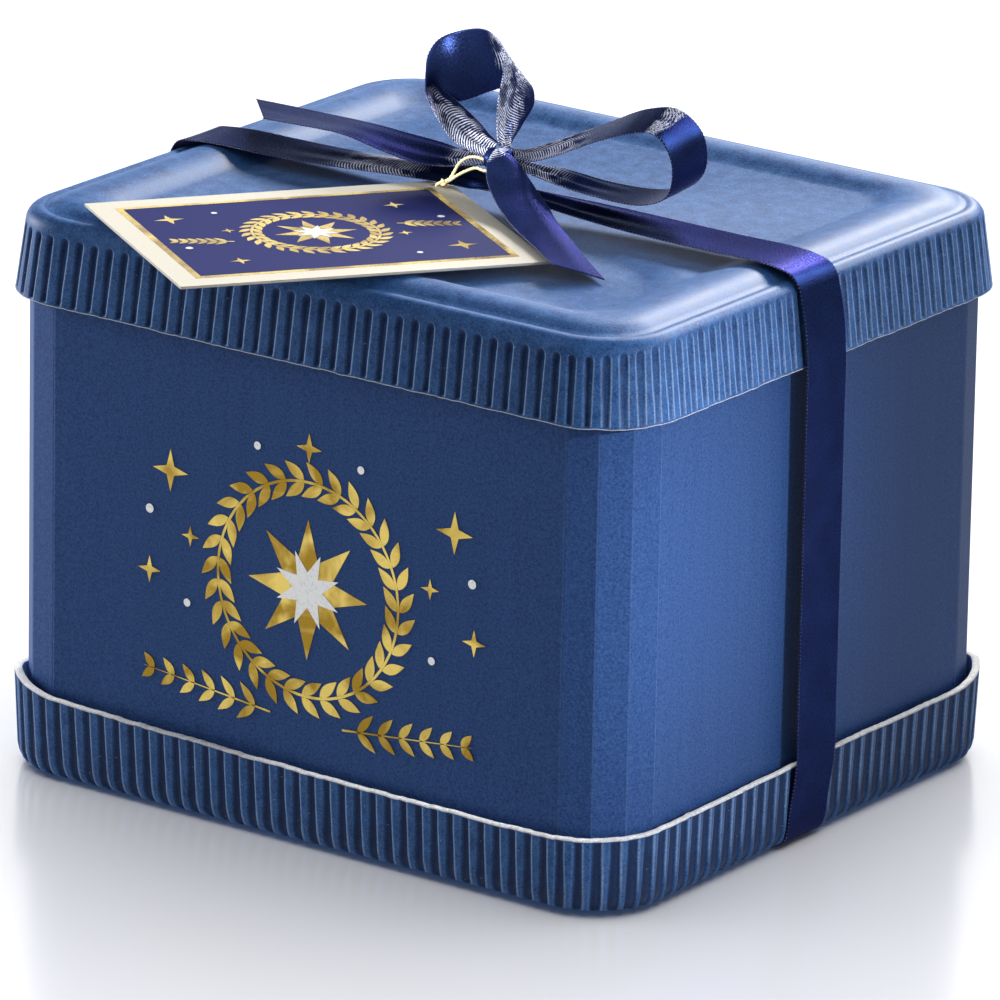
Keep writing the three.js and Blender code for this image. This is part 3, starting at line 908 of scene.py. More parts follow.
        # crest carries the pale edge lines of rub wear and painted highlight, groove the painted shade.
        for name, value in (("crest", rubbed), ("groove", shaded)):
            marked = add_node(tree, "GeometryNodeStoreNamedAttribute", self.STORED, {
                "Geometry": marked.outputs[0], "Name": name, "Value": value})
        bare = add_node(tree, "FunctionNodeCompare", {
            "data_type": "FLOAT", "operation": "GREATER_THAN"}, {0: raw, 1: 0.5})
        self.finish(marked.outputs[0], [("Raw Edge", bare.outputs[0])])


class RowTree(RepeatTree):
    """Sets copies of a small mesh along a line, a given distance apart, each turned along it."""

    def __init__(self) -> None:
        """Builds the tree."""
        super().__init__("row_along_line")
        self.input("Spacing", "Float")
        self.input("Up", "Vector")
        self.input("Piece", "Object")
        self.input("Material", "Material")
        tree, entry = self.tree, self.entry
        line = add_node(tree, "GeometryNodeMeshToCurve", inputs={0: entry.outputs["Geometry"]})
        dots = add_node(tree, "GeometryNodeResampleCurve", {"mode": "LENGTH"}, {
            "Curve": line.outputs[0], "Length": entry.outputs["Spacing"]})
        along = add_node(tree, "GeometryNodeInputTangent")
        upright = add_node(tree, "FunctionNodeAlignRotationToVector", {"axis": "Z"}, {
            "Vector": entry.outputs["Up"]})
        turned = add_node(tree, "FunctionNodeAlignRotationToVector", {"axis": "X", "pivot_axis": "Z"}, {
            "Rotation": upright.outputs[0], "Vector": along.outputs[0]})
        small = add_node(tree, "GeometryNodeObjectInfo", inputs={"Object": entry.outputs["Piece"]})
        copies = add_node(tree, "GeometryNodeInstanceOnPoints", inputs={
            "Points": dots.outputs[0], "Instance": small.outputs["Geometry"],
            "Rotation": turned.outputs[0]})
        self.finish(copies.outputs[0])


@dataclass
class Outline:
    """The rounded rectangle of a dish's open edge, and the rings inside it."""

    width: float = 250.0
    depth: float = 221.0
    corner: float = 27.0

    @property
    def length(self) -> float:
        """Gives the way round the open edge."""
        return 2 * (self.width + self.depth) + (2 * math.pi - 8) * self.corner

    def marks(self, distances: np.ndarray) -> tuple[np.ndarray, np.ndarray]:
        """Finds where along the sides and corners some distances lie.

        Args:
            distances: Ways along the open edge, in millimetres.

        Returns:
            A running mark that counts sides and corners, and the outward angle.
        """
        arc = math.pi / 2 * self.corner
        sides = [self.depth - 2 * self.corner, self.width - 2 * self.corner] * 2
        bounds = np.cumsum([0.0] + [part for side in sides for part in (side, arc)])
        marks = np.interp(distances, bounds, np.arange(9))
        whole = np.floor(marks).astype(int)
        turned = np.where(whole % 2 == 1, marks - whole, 0.0)
        return marks, (whole // 2 + turned) * math.pi / 2

    def ring(self, marks: np.ndarray, angles: np.ndarray, inset_x: float, inset_y: float,
             corner: float) -> np.ndarray:
        """Places the marks on a smaller rounded rectangle.

        Args:
            marks: Running marks of the places.
            angles: Outward angles of the places.
            inset_x: How far the left and right lie inside the open edge.
            inset_y: The same for the front and back.
            corner: The ring's corner radius.

        Returns:
            Rows of x and y.
        """
        half = np.array([self.width / 2 - inset_x - corner, self.depth / 2 - inset_y - corner])
        turns = np.array([[1, 1], [-1, 1], [-1, -1], [1, -1]]) * half
        whole = np.minimum(np.floor(marks).astype(int), 7)
        part = (marks - whole)[:, None]
        side = whole // 2
        after, before = turns[side], turns[(side + 3) % 4]
        middle = np.where((whole % 2 == 0)[:, None], before * (1 - part) + after * part, after)
        return middle + polar(corner, angles)


@dataclass
class Dish:
    """A pressed board dish: the tray stands on its shoulder, and the lid is one turned over."""

    node: str
    open_at: float
    upward: int
    crown: Sequence[tuple[float, float, float]]
    outline: Outline = field(default_factory=Outline)
    height: float = 27.3
    edge: float = 0.9
    flare: float = 3.5
    fill: float = 15.5
    wall: float = 1.5
    wall_top: float = 22.6
    flutes: int = 150
    flute_depth: float = 1.2
    flute_top: float = 22.9
    inner_corner: float = 15.0
    corner_loss: float = 0.75
    groove_half: float = 1.65
    columns: Sequence[float] = (0.0, 0.13, 0.19, 0.225, 0.26, 0.3, 0.4, 0.5, 0.6, 0.7, 0.74, 0.775,
                                0.81, 0.87)
    raw_reach: float = 0.4
    groove: Optional[tuple[float, float, float]] = None
    edge_line: Sequence[tuple[float, float]] = ((0.0, 0.0), (8.0, 0.0))
    foot_line: Sequence[tuple[float, float]] = ((0.0, 0.0), (8.0, 0.0))
    lit_share: float = 1.0
    broaden: float = 0.0
    # How much painted shade stays at the far part of each groove.
    fade: float = 0.35
    ragged: Sequence[tuple[int, float]] = ((420, 0.13), (130, 0.15))
    sway: tuple[int, float] = (24, 0.25)
    sway_rises: Span = (12.0, 1.0)
    droop_rises: Span = (20.0, 2.0)
    foot_rises: Span = (8.0, 25.0)
    foot_insets: Span = (21.0, 7.0)
    shift: float = 0.25
    lit_turn: Span = (1.6, 0.6)
    seed: int = SEED

    def rows(self) -> list[tuple[float, float, float, float, float]]:
        """Lists the section from the inner ceiling round the open edge to the crown's middle.

        Returns:
            Rows of inset along x, inset along y, height above the open edge, share of flute and
            share of raw edge.
        """
        rows = [(self.inner(rise), self.inner(rise), rise, 0.0, 0.0)
                for rise in (self.height - self.fill, 6.0, 0.9)]
        outer, inner = self.edge, self.edge + self.wall
        rows += [(inset, inset, rise, 0.0, 1.0) for inset, rise in (
            (inner, 0.2), (inner - 0.25, 0.0), ((inner + outer) / 2, -0.05), (outer + 0.3, 0.0),
            (outer + 0.05, 0.2), (outer + 0.02, self.raw_reach))]
        tips = [self.flute_top - down for down in (4.8, 4.1, 3.4, 2.4, 1.8, 1.4, 1.05, 0.75, 0.45, 0.0)]
        rises = [self.raw_reach + 0.1, 0.95, 1.4, 6.0, 12.0]
        rises += [*(tip for tip in tips if tip < self.wall_top - 0.2), self.wall_top]
        rows += [(self.slope(r), self.slope(r), r, 1.0, 0.0) for r in rises]
        smooth = Curve([(self.slope(self.wall_top), self.slope(self.wall_top), self.wall_top),
                        *self.crown])
        spans = len(self.crown)
        for place in smooth.at(np.linspace(0, 1, spans * 2 + 1)[1:]):
            share = float(place[2] < self.flute_top + 2.6)
            rows.append((place[0], place[1], place[2], share, 0.0))
        return rows

    def slope(self, rise: float) -> float:
        """Gives how far the outer wall lies inside the open edge at a height above it."""
        return self.edge + self.flare * rise / self.height

    def inner(self, rise: float) -> float:
        """Gives the same for the inner wall."""
        return self.slope(rise) + self.wall

    def build(self, tree: FluteTree, paper: bpy.types.Material,
              raw: bpy.types.Material) -> bpy.types.Object:
        """Builds the dish, presses its flutes and dresses it.

        Args:
            tree: The tree that presses flutes.
            paper: The paper outside.
            raw: The cut edge.

        Returns:
            The finished piece.
        """
        around = self.outline.length
        phases = (np.arange(self.flutes)[:, None] + np.asarray(self.columns)[None, :]
                  + self.shift).ravel()
        marks, angles = self.outline.marks(phases / self.flutes * around % around)
        order = np.argsort(marks)
        marks, angles, phases = marks[order], angles[order], phases[order]
        count, rows = len(marks), np.array(self.rows())
        first, second, sway = (slow_noise(count, knots, self.seed + number) * size
                               for number, (knots, size) in enumerate([*self.ragged, self.sway]))
        ragged = first + second
        droop = np.interp(marks, *zip(*self.edge_line))
        stands_clear = np.interp(marks, *zip(*self.foot_line))
        rightward = np.clip(self.lit_turn[0] * np.cos(angles) - self.lit_turn[1], 0, 1)
        points = []
        for inset_x, inset_y, rise in rows[:, :3]:
            corner = max(self.outline.corner - self.corner_loss * (inset_x + inset_y) / 2,
                         self.inner_corner)
            flat = self.outline.ring(marks, angles, inset_x, inset_y, corner)
            lift = rise + (ragged if rise < 1 else sway * smoothstep(*self.sway_rises, rise))
            height = self.open_at + self.upward * lift + droop * smoothstep(*self.droop_rises, rise)
            height = height + (stands_clear * smoothstep(*self.foot_rises, rise)
                               * smoothstep(*self.foot_insets, inset_x))
            points.append(np.column_stack([flat, np.maximum(height, 0.0)]))
        caps = [list(range(first, first + count)) for first in (0, (len(rows) - 1) * count)]
        piece = mesh_object(self.node + "_shell", np.concatenate(points),
                            grid_faces(len(rows), count) + caps)
        face_outwards(piece)
        for column, name in enumerate(("rise", "wall", "raw"), start=2):
            set_attribute(piece, name, np.repeat(rows[:, column], count))
        by_column = {"flute": phases - self.shift, "lit": rightward * self.lit_share,
                     "broad": 1 + rightward * self.broaden}
        for name, values in by_column.items():
            set_attribute(piece, name, np.tile(values, len(rows)))
        outward = np.column_stack([polar(1, angles), np.zeros(count)])
        set_attribute(piece, "outward", np.tile(outward, (len(rows), 1)))
        piece = tree.put_on(piece, Pitch=around / self.flutes, Seed=float(self.seed),
                            Depth=self.flute_depth * MM, Groove_Half=self.groove_half,
                            Tip_Rise=self.flute_top - 2.3, Step_Rise=self.flute_top - 4.6, Lip=0.55,
                            Waver=0.5, Fade=self.fade, Material=paper, Raw_Edge=raw)
        if self.groove:
            self.cut_groove(piece)
        return hand_over(piece, self.node)

    def cut_groove(self, piece: bpy.types.Object) -> None:
        """Cuts the shallow groove that takes the ribbon under the tray.

        Args:
            piece: The tray.
        """
        middle, width, depth = self.groove
        corners = np.array([[x * 140, middle + y * width / 2, z * depth]
                            for x in (-1, 1) for y in (-1, 1) for z in (-1, 1)])
        faces = [(0, 1, 3, 2), (4, 6, 7, 5), (0, 4, 5, 1), (2, 3, 7, 6), (0, 2, 6, 4), (1, 5, 7, 3)]
        cutter = mesh_object("groove_cutter", corners, faces, smooth=False)
        face_outwards(cutter)
        cut = piece.modifiers.new("groove", "BOOLEAN")
        cut.operation, cut.solver, cut.object = "DIFFERENCE", "EXACT", cutter
        baked(piece)
        bpy.data.objects.remove(cutter)


LID_CROWN = [
    (4.1, 4.1, 23.9), (4.9, 4.9, 25.4), (6.4, 6.4, 26.6), (8.2, 8.2, 26.9), (9.8, 9.7, 26.7),
    (13.8, 13.2, 28.6), (19.0, 18.0, 29.6), (26.0, 23.5, 29.0), (31.5, 27.5, 27.2), (35.0, 30.0, 26.4),
]
TRAY_CROWN = [(2.1, 2.1, 22.2), (2.7, 2.7, 24.3), (3.9, 3.9, 25.8), (5.8, 5.8, 26.8), (8.4, 8.4, 27.2),
              (12.0, 12.0, 27.3), (22.0, 22.0, 27.3)]
TRAY_EDGE = ((0.0, 0.0), (0.6, 1.1), (0.95, 0.8), (1.2, 2.8), (1.5, 4.8), (2.0, 2.2), (2.5, 0.0),
             (4.5, 0.0), (5.0, 2.4), (5.5, 4.9), (5.8, 2.9), (6.1, 0.5), (6.55, -1.4), (6.9, -1.6),
             (7.5, -0.8), (8.0, 0.0))
TRAY_FOOT = ((0.0, 0.8), (0.5, 1.0), (0.9, 0.8), (1.3, 0.2), (1.8, 0.3), (2.5, 0.8), (3.5, 0.2),
             (4.2, 0.8), (4.8, 0.8), (5.5, 0.2), (6.5, 0.6), (6.85, 1.0), (7.5, 0.7), (8.0, 0.8))


@dataclass
class Sleeve:
    """The body: a card sleeve with facets folded into its corners, bowed a little by its load."""

    node: str = "body"
    width: float = 239.6
    depth: float = 209.0
    corner: float = 21.0
    facets: int = 3
    bottom: float = 15.8
    top: float = 168.8
    crease_half: float = 0.45
    crease_depth: float = 0.12
    rows: int = 24
    bow: float = 0.35
    long_side: float = 40.0
    side_steps: int = 14

    def outline(self) -> tuple[np.ndarray, np.ndarray]:
        """Draws the section with a shallow rub at each crease.

        Returns:
            Rows of x and y, and how much each lies on a crease.
        """
        turns = []
        for quarter, (sign_x, sign_y) in enumerate([(1, 1), (-1, 1), (-1, -1), (1, -1)]):
            for crease in range(self.facets + 1):
                angle = (quarter + crease / self.facets) * math.pi / 2
                turns.append([sign_x * (self.width / 2 - self.corner) + self.corner * math.cos(angle),
                              sign_y * (self.depth / 2 - self.corner) + self.corner * math.sin(angle)])
        turns = np.array(turns)
        ring, creased = [], []
        for index, turn in enumerate(turns):
            before, after = turns[index - 1], turns[(index + 1) % len(turns)]
            back, on = unit(before - turn), unit(after - turn)
            inward = unit(back + on)
            ring += [turn + back * self.crease_half, turn + inward * self.crease_depth,
                     turn + on * self.crease_half]
            creased += [0.0, 1.0, 0.0]
            if np.linalg.norm(after - turn) > self.long_side:
                parts = np.linspace(0, 1, self.side_steps)[1:-1]
                ring += [turn + (after - turn) * part for part in parts]
                creased += [0.0] * len(parts)
        return np.array(ring), np.array(creased)

    def build(self, card: bpy.types.Material) -> bpy.types.Object:
        """Builds and dresses the sleeve.

        Args:
            card: The sleeve's finish.

        Returns:
            The sleeve.
        """
        ring, creased = self.outline()
        count = len(ring)
        points = []
        for level in np.linspace(0, 1, self.rows):
            bulge = self.bow * math.sin(math.pi * level)
            flat = ring.copy()
            for axis in (0, 1):
                other = 1 - axis
                reach = (self.width, self.depth)[other] / 2
                share = np.clip(1 - (np.abs(ring[:, other]) / (reach - self.corner)) ** 2, 0, 1)
                on_side = np.abs(ring[:, axis]) > (self.width, self.depth)[axis] / 2 - 1
                flat[:, axis] += np.where(on_side, np.sign(ring[:, axis]) * share * bulge, 0)
            height = self.bottom + (self.top - self.bottom) * level
            points.append(np.column_stack([flat, np.full(count, height)]))
        caps = [list(range(count))[::-1], list(range((self.rows - 1) * count, self.rows * count))]
        piece = mesh_object(self.node + "_sleeve", np.concatenate(points),
                            grid_faces(self.rows, count) + caps, smooth=False)
        set_attribute(piece, "crest", np.tile(creased, self.rows))
        piece.data.materials.append(card)
        return hand_over(piece, self.node)


class RibbonPart(Enum):
    """The five lengths of ribbon, by the solid each one stands for."""

    BAND = "ribbon_band"
    LOOP_UPRIGHT = "bow_loop_upright"
    LOOP_SIDE = "bow_loop_side"
    TAIL_FRONT = "bow_tail_front"
    TAIL_LEFT = "bow_tail_left"


@dataclass
class Strip:
    """One length of satin ribbon swept through stations: its middle, and half its width."""

    part: RibbonPart
    stations: Sequence[tuple[Point, Point]]
    steps: int
    looped: bool = False
    slant: float = 0.0
    start: float = 0.0
    finish: float = 1.0
    folds: float = 2.0
    ladder: float = 0.14
    # Where along the strip the weave is rucked and painted glints are laid, and how far each reaches.
    ladder_reach: Sequence[tuple[float, float]] = ()
    ladder_lean: float = 0.0
    # Where the painted glints break into speckle, and how far that reaches.
    speckled: tuple[float, float] = (0.0, 0.01)
    curl: float = 0.0
    curl_reach: tuple[float, float] = (0.0, 0.0)
    thick: float = 0.36
    edge_share: float = 0.45
    full_half: float = 10.5
    fold_height: float = 1.35
    bar_mm: float = 2.6
    arch: float = 0.15
    cut_from: float = 0.72
    across: Sequence[float] = (-1.0, -0.975, -0.93, -0.84, -0.72, -0.58, -0.44, -0.3, -0.15, 0.0,
                               0.15, 0.3, 0.44, 0.58, 0.72, 0.84, 0.93, 0.975, 1.0)
    seed: int = SEED

    def surface(self) -> tuple[np.ndarray, np.ndarray, np.ndarray, np.ndarray]:
        """Works out the strip's middle skin.

        Returns:
            Points and outward directions as steps by columns, the UV places in millimetres, and
            how much each point is rucked by the knot and carries painted glint.
        """
        middles = Curve([at for at, _ in self.stations], self.looped)
        halves = Curve([half for _, half in self.stations], self.looped, centripetal=False)
        count = self.steps if self.looped else self.steps + 1
        base = self.start + (self.finish - self.start) * np.arange(count) / self.steps
        across = np.asarray(self.across)
        cut = self.slant / run_of(middles.at(np.linspace(0, 1, 400)))[-1] * (1 - across) / 2
        late = np.clip((base - self.cut_from) / (1 - self.cut_from), 0, 1)
        where = base[:, None] - np.outer(late, cut)
        flat = where.ravel()
        middle = middles.at(flat)
        half = halves.at(flat)
        along = middles.direction(flat)
        normal = unit(np.cross(along, half))
        middle[:, 2] = np.maximum(middle[:, 2], 0.3)
        side = np.tile(across, count)
        width = np.linalg.norm(half, axis=1)
        squeeze = np.clip(1 - width / self.full_half, 0, 1)
        run = np.repeat(run_of(middles.at(base)), len(across))
        relief = self.relief(flat, run, side, squeeze)
        place = middle + half * side[:, None] + normal * relief[:, None]
        uv = np.column_stack([run, side * self.full_half])
        shape = (count, len(across), 3)
        return place.reshape(shape), normal.reshape(shape), uv, self.ruck_and_glint_share(flat, side)

    def ruck_and_glint_share(self, where: np.ndarray, side: np.ndarray) -> np.ndarray:
        """Tells how strongly the pull of the knot rucks the weave at each place on the strip, and where
        pale rungs are painted as glints, near the knot and at other given places.

        Args:
            where: Place along the strip, from 0 to 1.
            side: Place across the strip, from -1 to 1.

        Returns:
            Shares from 0 to 1.
        """
        near = np.zeros_like(where)
        for centre, reach in self.ladder_reach:
            near = np.maximum(near, np.exp(-((where - centre) / reach) ** 2))
        return near * np.clip(1 - self.ladder_lean * np.where(where < 0.5, side, -side), 0, 1)

    def relief(self, where: np.ndarray, run: np.ndarray, side: np.ndarray,
               squeeze: np.ndarray) -> np.ndarray:
        """Raises the folds that a narrowed ribbon gathers into, and fine bars near the knot.

        Args:
            where: Place along the strip, from 0 to 1.
            run: The same in millimetres.
            side: Place across the strip, from -1 to 1.
            squeeze: How much of the width is gathered up.

        Returns:
            The height of each point off the strip's plane, in millimetres.
        """
        drift = 0.5 * np.sin(run / 11 + self.seed)
        fold = np.cos(math.pi * self.folds * (side + 0.12 * drift)) * self.fold_height * squeeze ** 0.8
        edge = 1 - np.abs(side) ** 6
        bars = np.sin(2 * math.pi * (run + 3.5 * side) / self.bar_mm + 1.3 * np.sin(run / 4.0))
        crown = self.arch * (1 - side ** 2)
        if self.curl:
            near = 1 - smoothstep(self.curl_reach[0], self.curl_reach[1], where)
            crown = crown - self.curl * near * np.maximum(0, -0.1 - side) ** 1.3
        return (fold + self.ladder * self.ruck_and_glint_share(where, side) * bars) * (0.35 + 0.65 * edge) + crown

    def build(self, satin: bpy.types.Material) -> tuple[bpy.types.Object, np.ndarray]:
        """Builds and dresses the strip.

        Args:
            satin: The ribbon's finish.

        Returns:
            The piece, and its two edge lines as points by edge.
        """
        skin, normal, uv, ruck_and_glint = self.surface()
        count, columns = skin.shape[:2]
        edge = np.abs(np.asarray(self.across)) > 0.999
        thin = normal * np.where(edge, self.edge_share, 1.0)[None, :, None] * self.thick / 2
        points = np.concatenate([skin + thin, (skin - thin)[:, ::-1]], axis=1).reshape(-1, 3)
        points[:, 2] = np.maximum(points[:, 2], 0.0)
        ring = 2 * columns
        faces = grid_faces(count, ring, looped=self.looped)
        # The quads beneath start one corner later, so that they split along the same diagonal.
        faces = [face[1:] + face[:1] if number % ring >= columns else face
                 for number, face in enumerate(faces)]
        for end in () if self.looped else (0, (count - 1) * ring):
            faces += [(end + col, end + ring - 1 - col, end + ring - 2 - col, end + col + 1)
                      for col in range(columns - 1)]
        piece = mesh_object(self.part.value + "_satin", points, faces)
        face_outwards(piece)
        uv = uv.reshape(count, columns, 2)
        set_uv(piece, RIBBON_UV, np.concatenate([uv, uv[:, ::-1]], axis=1).reshape(-1, 2))
        # The rucks and painted glints, then where the glints break into speckle.
        ruck_and_glint = ruck_and_glint.reshape(count, columns)
        set_attribute(piece, "ladder", np.concatenate([ruck_and_glint, ruck_and_glint[:, ::-1]], axis=1).ravel())
        centre, reach = self.speckled
        glint_speckle = np.exp(-((np.arange(count) / self.steps - centre) / reach) ** 2)
        set_attribute(piece, "speckle", np.repeat(glint_speckle, ring))
        piece.data.materials.append(satin)
        return hand_over(piece, self.part.value), skin[:, [0, -1], :]


@dataclass
class Ribbon:
    """The whole ribbon: the band round the box, the bow's two loops and two tails, the knot, and
    the thread along every edge."""

    lid_edge: float = 157.3
    rim_half: float = 125.0
    middle_y: float = -4.6
    half: float = 10.5
    stitch_mm: float = 1.25
    by_tray: Sequence[tuple[float, float]] = ((22.0, 0.3), (12.0, 0.4), (7.6, 0.7), (4.4, 1.7),
                                              (2.4, 4.6), (0.9, 15.0), (-0.9, 27.3), (-1.0, 47.3))
    by_lid: Sequence[tuple[float, float]] = ((-1.0, -20.0), (-1.0, 0.0), (0.0, 13.0), (1.9, 22.5),
                                             (2.9, 26.0), (5.6, 29.4))
    over_lid: Sequence[tuple[Point, Point]] = (
        ((114, -4.6, 188.4), (0, 10.5, 0)), ((105, -4.6, 189.2), (0, 10.5, 0)),
        ((86, -4.6, 189.1), (0, 10.5, 0)), ((56, -4.6, 189.5), (0, 10.1, 0)),
        ((34, -4.6, 190.2), (0, 8.6, 0)), ((16, -4.6, 190.9), (0, 6.2, 0)),
        ((4, -4, 191.2), (0, 5.2, 0)), ((-6, -2, 191.0), (0, 4.4, 1.0)),
        ((-13, -0.5, 191.0), (0, 4.0, 2.3)), ((-22, -1, 190.9), (0, 4.4, 1.9)),
        ((-34, -2.3, 190.4), (0, 6.4, 0.9)), ((-46, -3.2, 189.9), (0, 8.4, 0.3)),
        ((-60, -4.4, 189.3), (0, 9.7, 0)), ((-86, -4.6, 188.6), (0, 10.5, 0)),
        ((-105, -4.6, 188.5), (0, 10.5, 0)), ((-114, -4.6, 187.8), (0, 10.5, 0)))
    loop_upright: Sequence[tuple[Point, Point]] = (
        ((-6, 1, 201), (0.3, 3.4, 1.2)), ((-12, 2, 202), (0.2, 5.0, 1.5)),
        ((-19, 3, 204.8), (-0.6, 7.8, 1.2)), ((-26.3, 4, 209.5), (-2.8, 9.9, -0.4)),
        ((-34.4, 6.5, 213.4), (-5.0, 8.9, 0.3)), ((-40.3, 11, 216.5), (-6.0, 8.1, 2.2)),
        ((-40.3, 17, 217.3), (-4.6, 5.2, 7.6)), ((-35.6, 22.5, 218.4), (-2.8, 1.9, 10.5)),
        ((-28.4, 28, 220.6), (-0.6, -2.0, 10.4)), ((-19.4, 29.2, 221.0), (-0.3, -6.7, 7.8)),
        ((-12.7, 23, 216.0), (-0.7, -7.6, 6.8)), ((-8.9, 13, 209.2), (-0.3, -5.9, 5.4)),
        ((-5.5, 6, 203.8), (-0.1, -3.8, 2.6)), ((-3, 3, 201.5), (0, -3.0, 1.6)))
    loop_side: Sequence[tuple[Point, Point]] = (
        ((0, 1, 200.8), (-2.2, 2.6, 0.4)), ((8, 0.5, 201.6), (-4.2, 4.2, 0.2)),
        ((20, 0, 206.8), (-6.0, 6.6, -0.6)), ((36, 0, 214.5), (-5.2, 9.3, -0.2)),
        ((50, 0, 220.6), (-3.4, 10.1, 1.2)), ((60.5, 0, 222.2), (-2.2, 10.5, 1.2)),
        ((67.3, 0, 217.6), (-0.6, 10.7, 0)), ((69.6, 0, 209.4), (-0.9, 10.7, -1.2)),
        ((66.6, 0, 201.6), (-2.0, 10.6, -0.6)), ((56.4, 0, 197.2), (-2.2, 10.5, -0.2)),
        ((37, 0, 196.2), (-2.0, 9.7, -0.5)), ((19, 0, 197.6), (-1.8, 7.0, 0.2)),
        ((9, 0, 198.2), (-1.2, 4.4, 0)), ((0, 0, 198.8), (-0.8, 3.0, 0)))
    tail_front: Sequence[tuple[Point, Point]] = (
        ((-2.6, 1.4, 200.6), (2.0, 1.6, 0.3)), ((-2.2, -2.6, 201.3), (2.2, 1.9, 0.5)),
        ((2.7, -7.0, 199.8), (3.2, 3.6, 0.8)), ((8.9, -12.2, 197.0), (3.8, 5.6, 0.2)),
        ((15.3, -16.5, 193.8), (3.3, 7.2, 0.0)), ((22.9, -21.8, 191.6), (2.6, 8.2, 0.0)),
        ((32.4, -29.4, 190.3), (1.6, 8.6, -0.3)),
        ((48, -40.8, 189.1), (0.8, 9.0, -1.1)), ((62.7, -51.8, 188.2), (0.0, 9.6, -1.8)),
        ((75.4, -61.3, 187.6), (-1.2, 10.4, -2.0)))
    tail_left: Sequence[tuple[Point, Point]] = (
        ((-3, 2, 198.2), (-0.4, 3.0, 0.8)), ((-13, 3, 196.6), (-0.8, 4.2, 1.0)),
        ((-22.5, 3, 195.0), (-1.8, 6.6, 1.1)), ((-33.5, 3, 194.8), (-2.0, 8.5, 1.4)),
        ((-46, 3, 195.8), (-1.6, 9.7, 0.4)), ((-61, 4, 197.0), (-0.6, 10.3, -0.8)),
        ((-77, 4.5, 196.8), (0, 10.4, -0.8)), ((-92.5, 5.5, 196.2), (-0.6, 10.4, -0.6)),
        ((-112, 7, 195.4), (-0.6, 10.4, -0.6)))
    knot_at: Point = (-2.4, -0.4, 198.6)
    knot_radii: Point = (4.6, 4.9, 4.3)
    knot_grid: tuple[int, int] = (96, 56)
    knot_blunt: float = 0.62
    knot_waist: float = 0.12
    pleats: float = 7.5
    pleat_height: float = 0.075
    pinch: float = 0.1

    def band_stations(self) -> list[tuple[Point, Point]]:
        """Lists the band's stations: up the right wall, over the lid, down the left and beneath.

        Returns:
            The stations.
        """
        half = (0.0, self.half, 0.0)

        def wall(sign: int) -> list[tuple[Point, Point]]:
            """Goes up the right wall, or the left one where the sign is minus."""
            heights = [*self.by_tray, *((inset, self.lid_edge + rise) for inset, rise in self.by_lid)]
            return [((sign * (self.rim_half - inset), self.middle_y, z), half) for inset, z in heights]

        below = [((-x, self.middle_y, 0.3), half) for x in (60, 0, -60)]
        return [*wall(1), *self.over_lid, *wall(-1)[::-1], *below]

    def strips(self) -> list[Strip]:
        """Lists the five strips with how each is gathered and wrinkled, and where painted glints lie on
        it.

        Returns:
            The strips, in the order that they are built in.
        """
        return [
            Strip(RibbonPart.BAND, self.band_stations(), 620, looped=True, folds=2.0, ladder=0.1,
                  ladder_reach=((0.53, 0.02),)),
            Strip(RibbonPart.LOOP_UPRIGHT, self.loop_upright, 300, start=0.005, finish=0.985,
                  folds=2.0, ladder=0.12, ladder_reach=((0.1, 0.2), (0.7, 0.05), (0.95, 0.18)),
                  ladder_lean=0.9, speckled=(0.74, 0.07), seed=3),
            Strip(RibbonPart.LOOP_SIDE, self.loop_side, 320, start=0.015, finish=0.985, folds=2.2,
                  ladder=0.12, ladder_reach=((0.08, 0.1), (0.38, 0.02), (0.93, 0.08)),
                  speckled=(0.38, 0.06), seed=5),
            Strip(RibbonPart.TAIL_FRONT, self.tail_front, 220, slant=13.0, folds=0.5,
                  ladder=0.05, ladder_reach=((0.08, 0.08),), curl=2.6, curl_reach=(0.0, 0.3), seed=2),
            Strip(RibbonPart.TAIL_LEFT, self.tail_left, 240, slant=13.0, start=0.02, folds=2.2,
                  ladder=0.14, ladder_reach=((0.14, 0.12),), seed=9),
        ]

    def build_knot(self, satin: bpy.types.Material) -> bpy.types.Object:
        """Builds the strap that is pulled tight round the middle, with the pleats it falls into.

        Args:
            satin: The ribbon's finish.

        Returns:
            The knot.
        """
        turns, rows = self.knot_grid
        lean = math.pi * np.arange(1, rows)[:, None] / rows
        angle = round_angles(turns)[None, :]
        across = np.cos(lean)
        pleat = self.pleat_height * np.cos(self.pleats * across + 0.5 * np.sin(angle + 0.7))
        pinch = self.pinch * np.cos(2 * angle + 0.6) * np.sin(lean)
        waist = 1 - self.knot_waist * np.cos(across * 3)
        girth = np.sin(lean) ** self.knot_blunt * (waist + pleat + pinch)
        shape = np.stack([across + 0 * angle, girth * np.cos(angle), girth * np.sin(angle)], axis=-1)
        points = np.asarray(self.knot_at) + shape.reshape(-1, 3) * self.knot_radii
        caps = [list(range(turns)), list(range((rows - 2) * turns, (rows - 1) * turns))]
        piece = mesh_object("bow_knot_satin", points, grid_faces(rows - 1, turns) + caps)
        face_outwards(piece)
        uv = np.stack([angle * 6.5 + 0 * across, across * 6 + 0 * angle], axis=-1)
        set_uv(piece, RIBBON_UV, uv.reshape(-1, 2))
        piece.data.materials.append(satin)
        return hand_over(piece, "bow_knot")

    def stitch(self) -> bpy.types.Object:
        """Makes one edge stitch, a grain of thread with few faces.

        Returns:
            The stitch, which its copies are made from.
        """
        half_long, waist, girths, sides = 0.42, 0.26, (0.15, 0.2, 0.15), 6
        points = [[-half_long, 0, 0]]
        for along, girth in zip((-waist, 0.0, waist), girths):
            points += [[along, *spot] for spot in polar(girth, round_angles(sides))]
        points.append([half_long, 0, 0])
        end = len(points) - 1
        faces = grid_faces(len(girths), sides, start=1)
        for k in range(sides):
            after = (k + 1) % sides
            faces += [(0, 1 + after, 1 + k), (end, end - sides + k, end - sides + after)]
        grain = mesh_object("stitch_grain", np.array(points), faces)
        face_outwards(grain)
        return grain

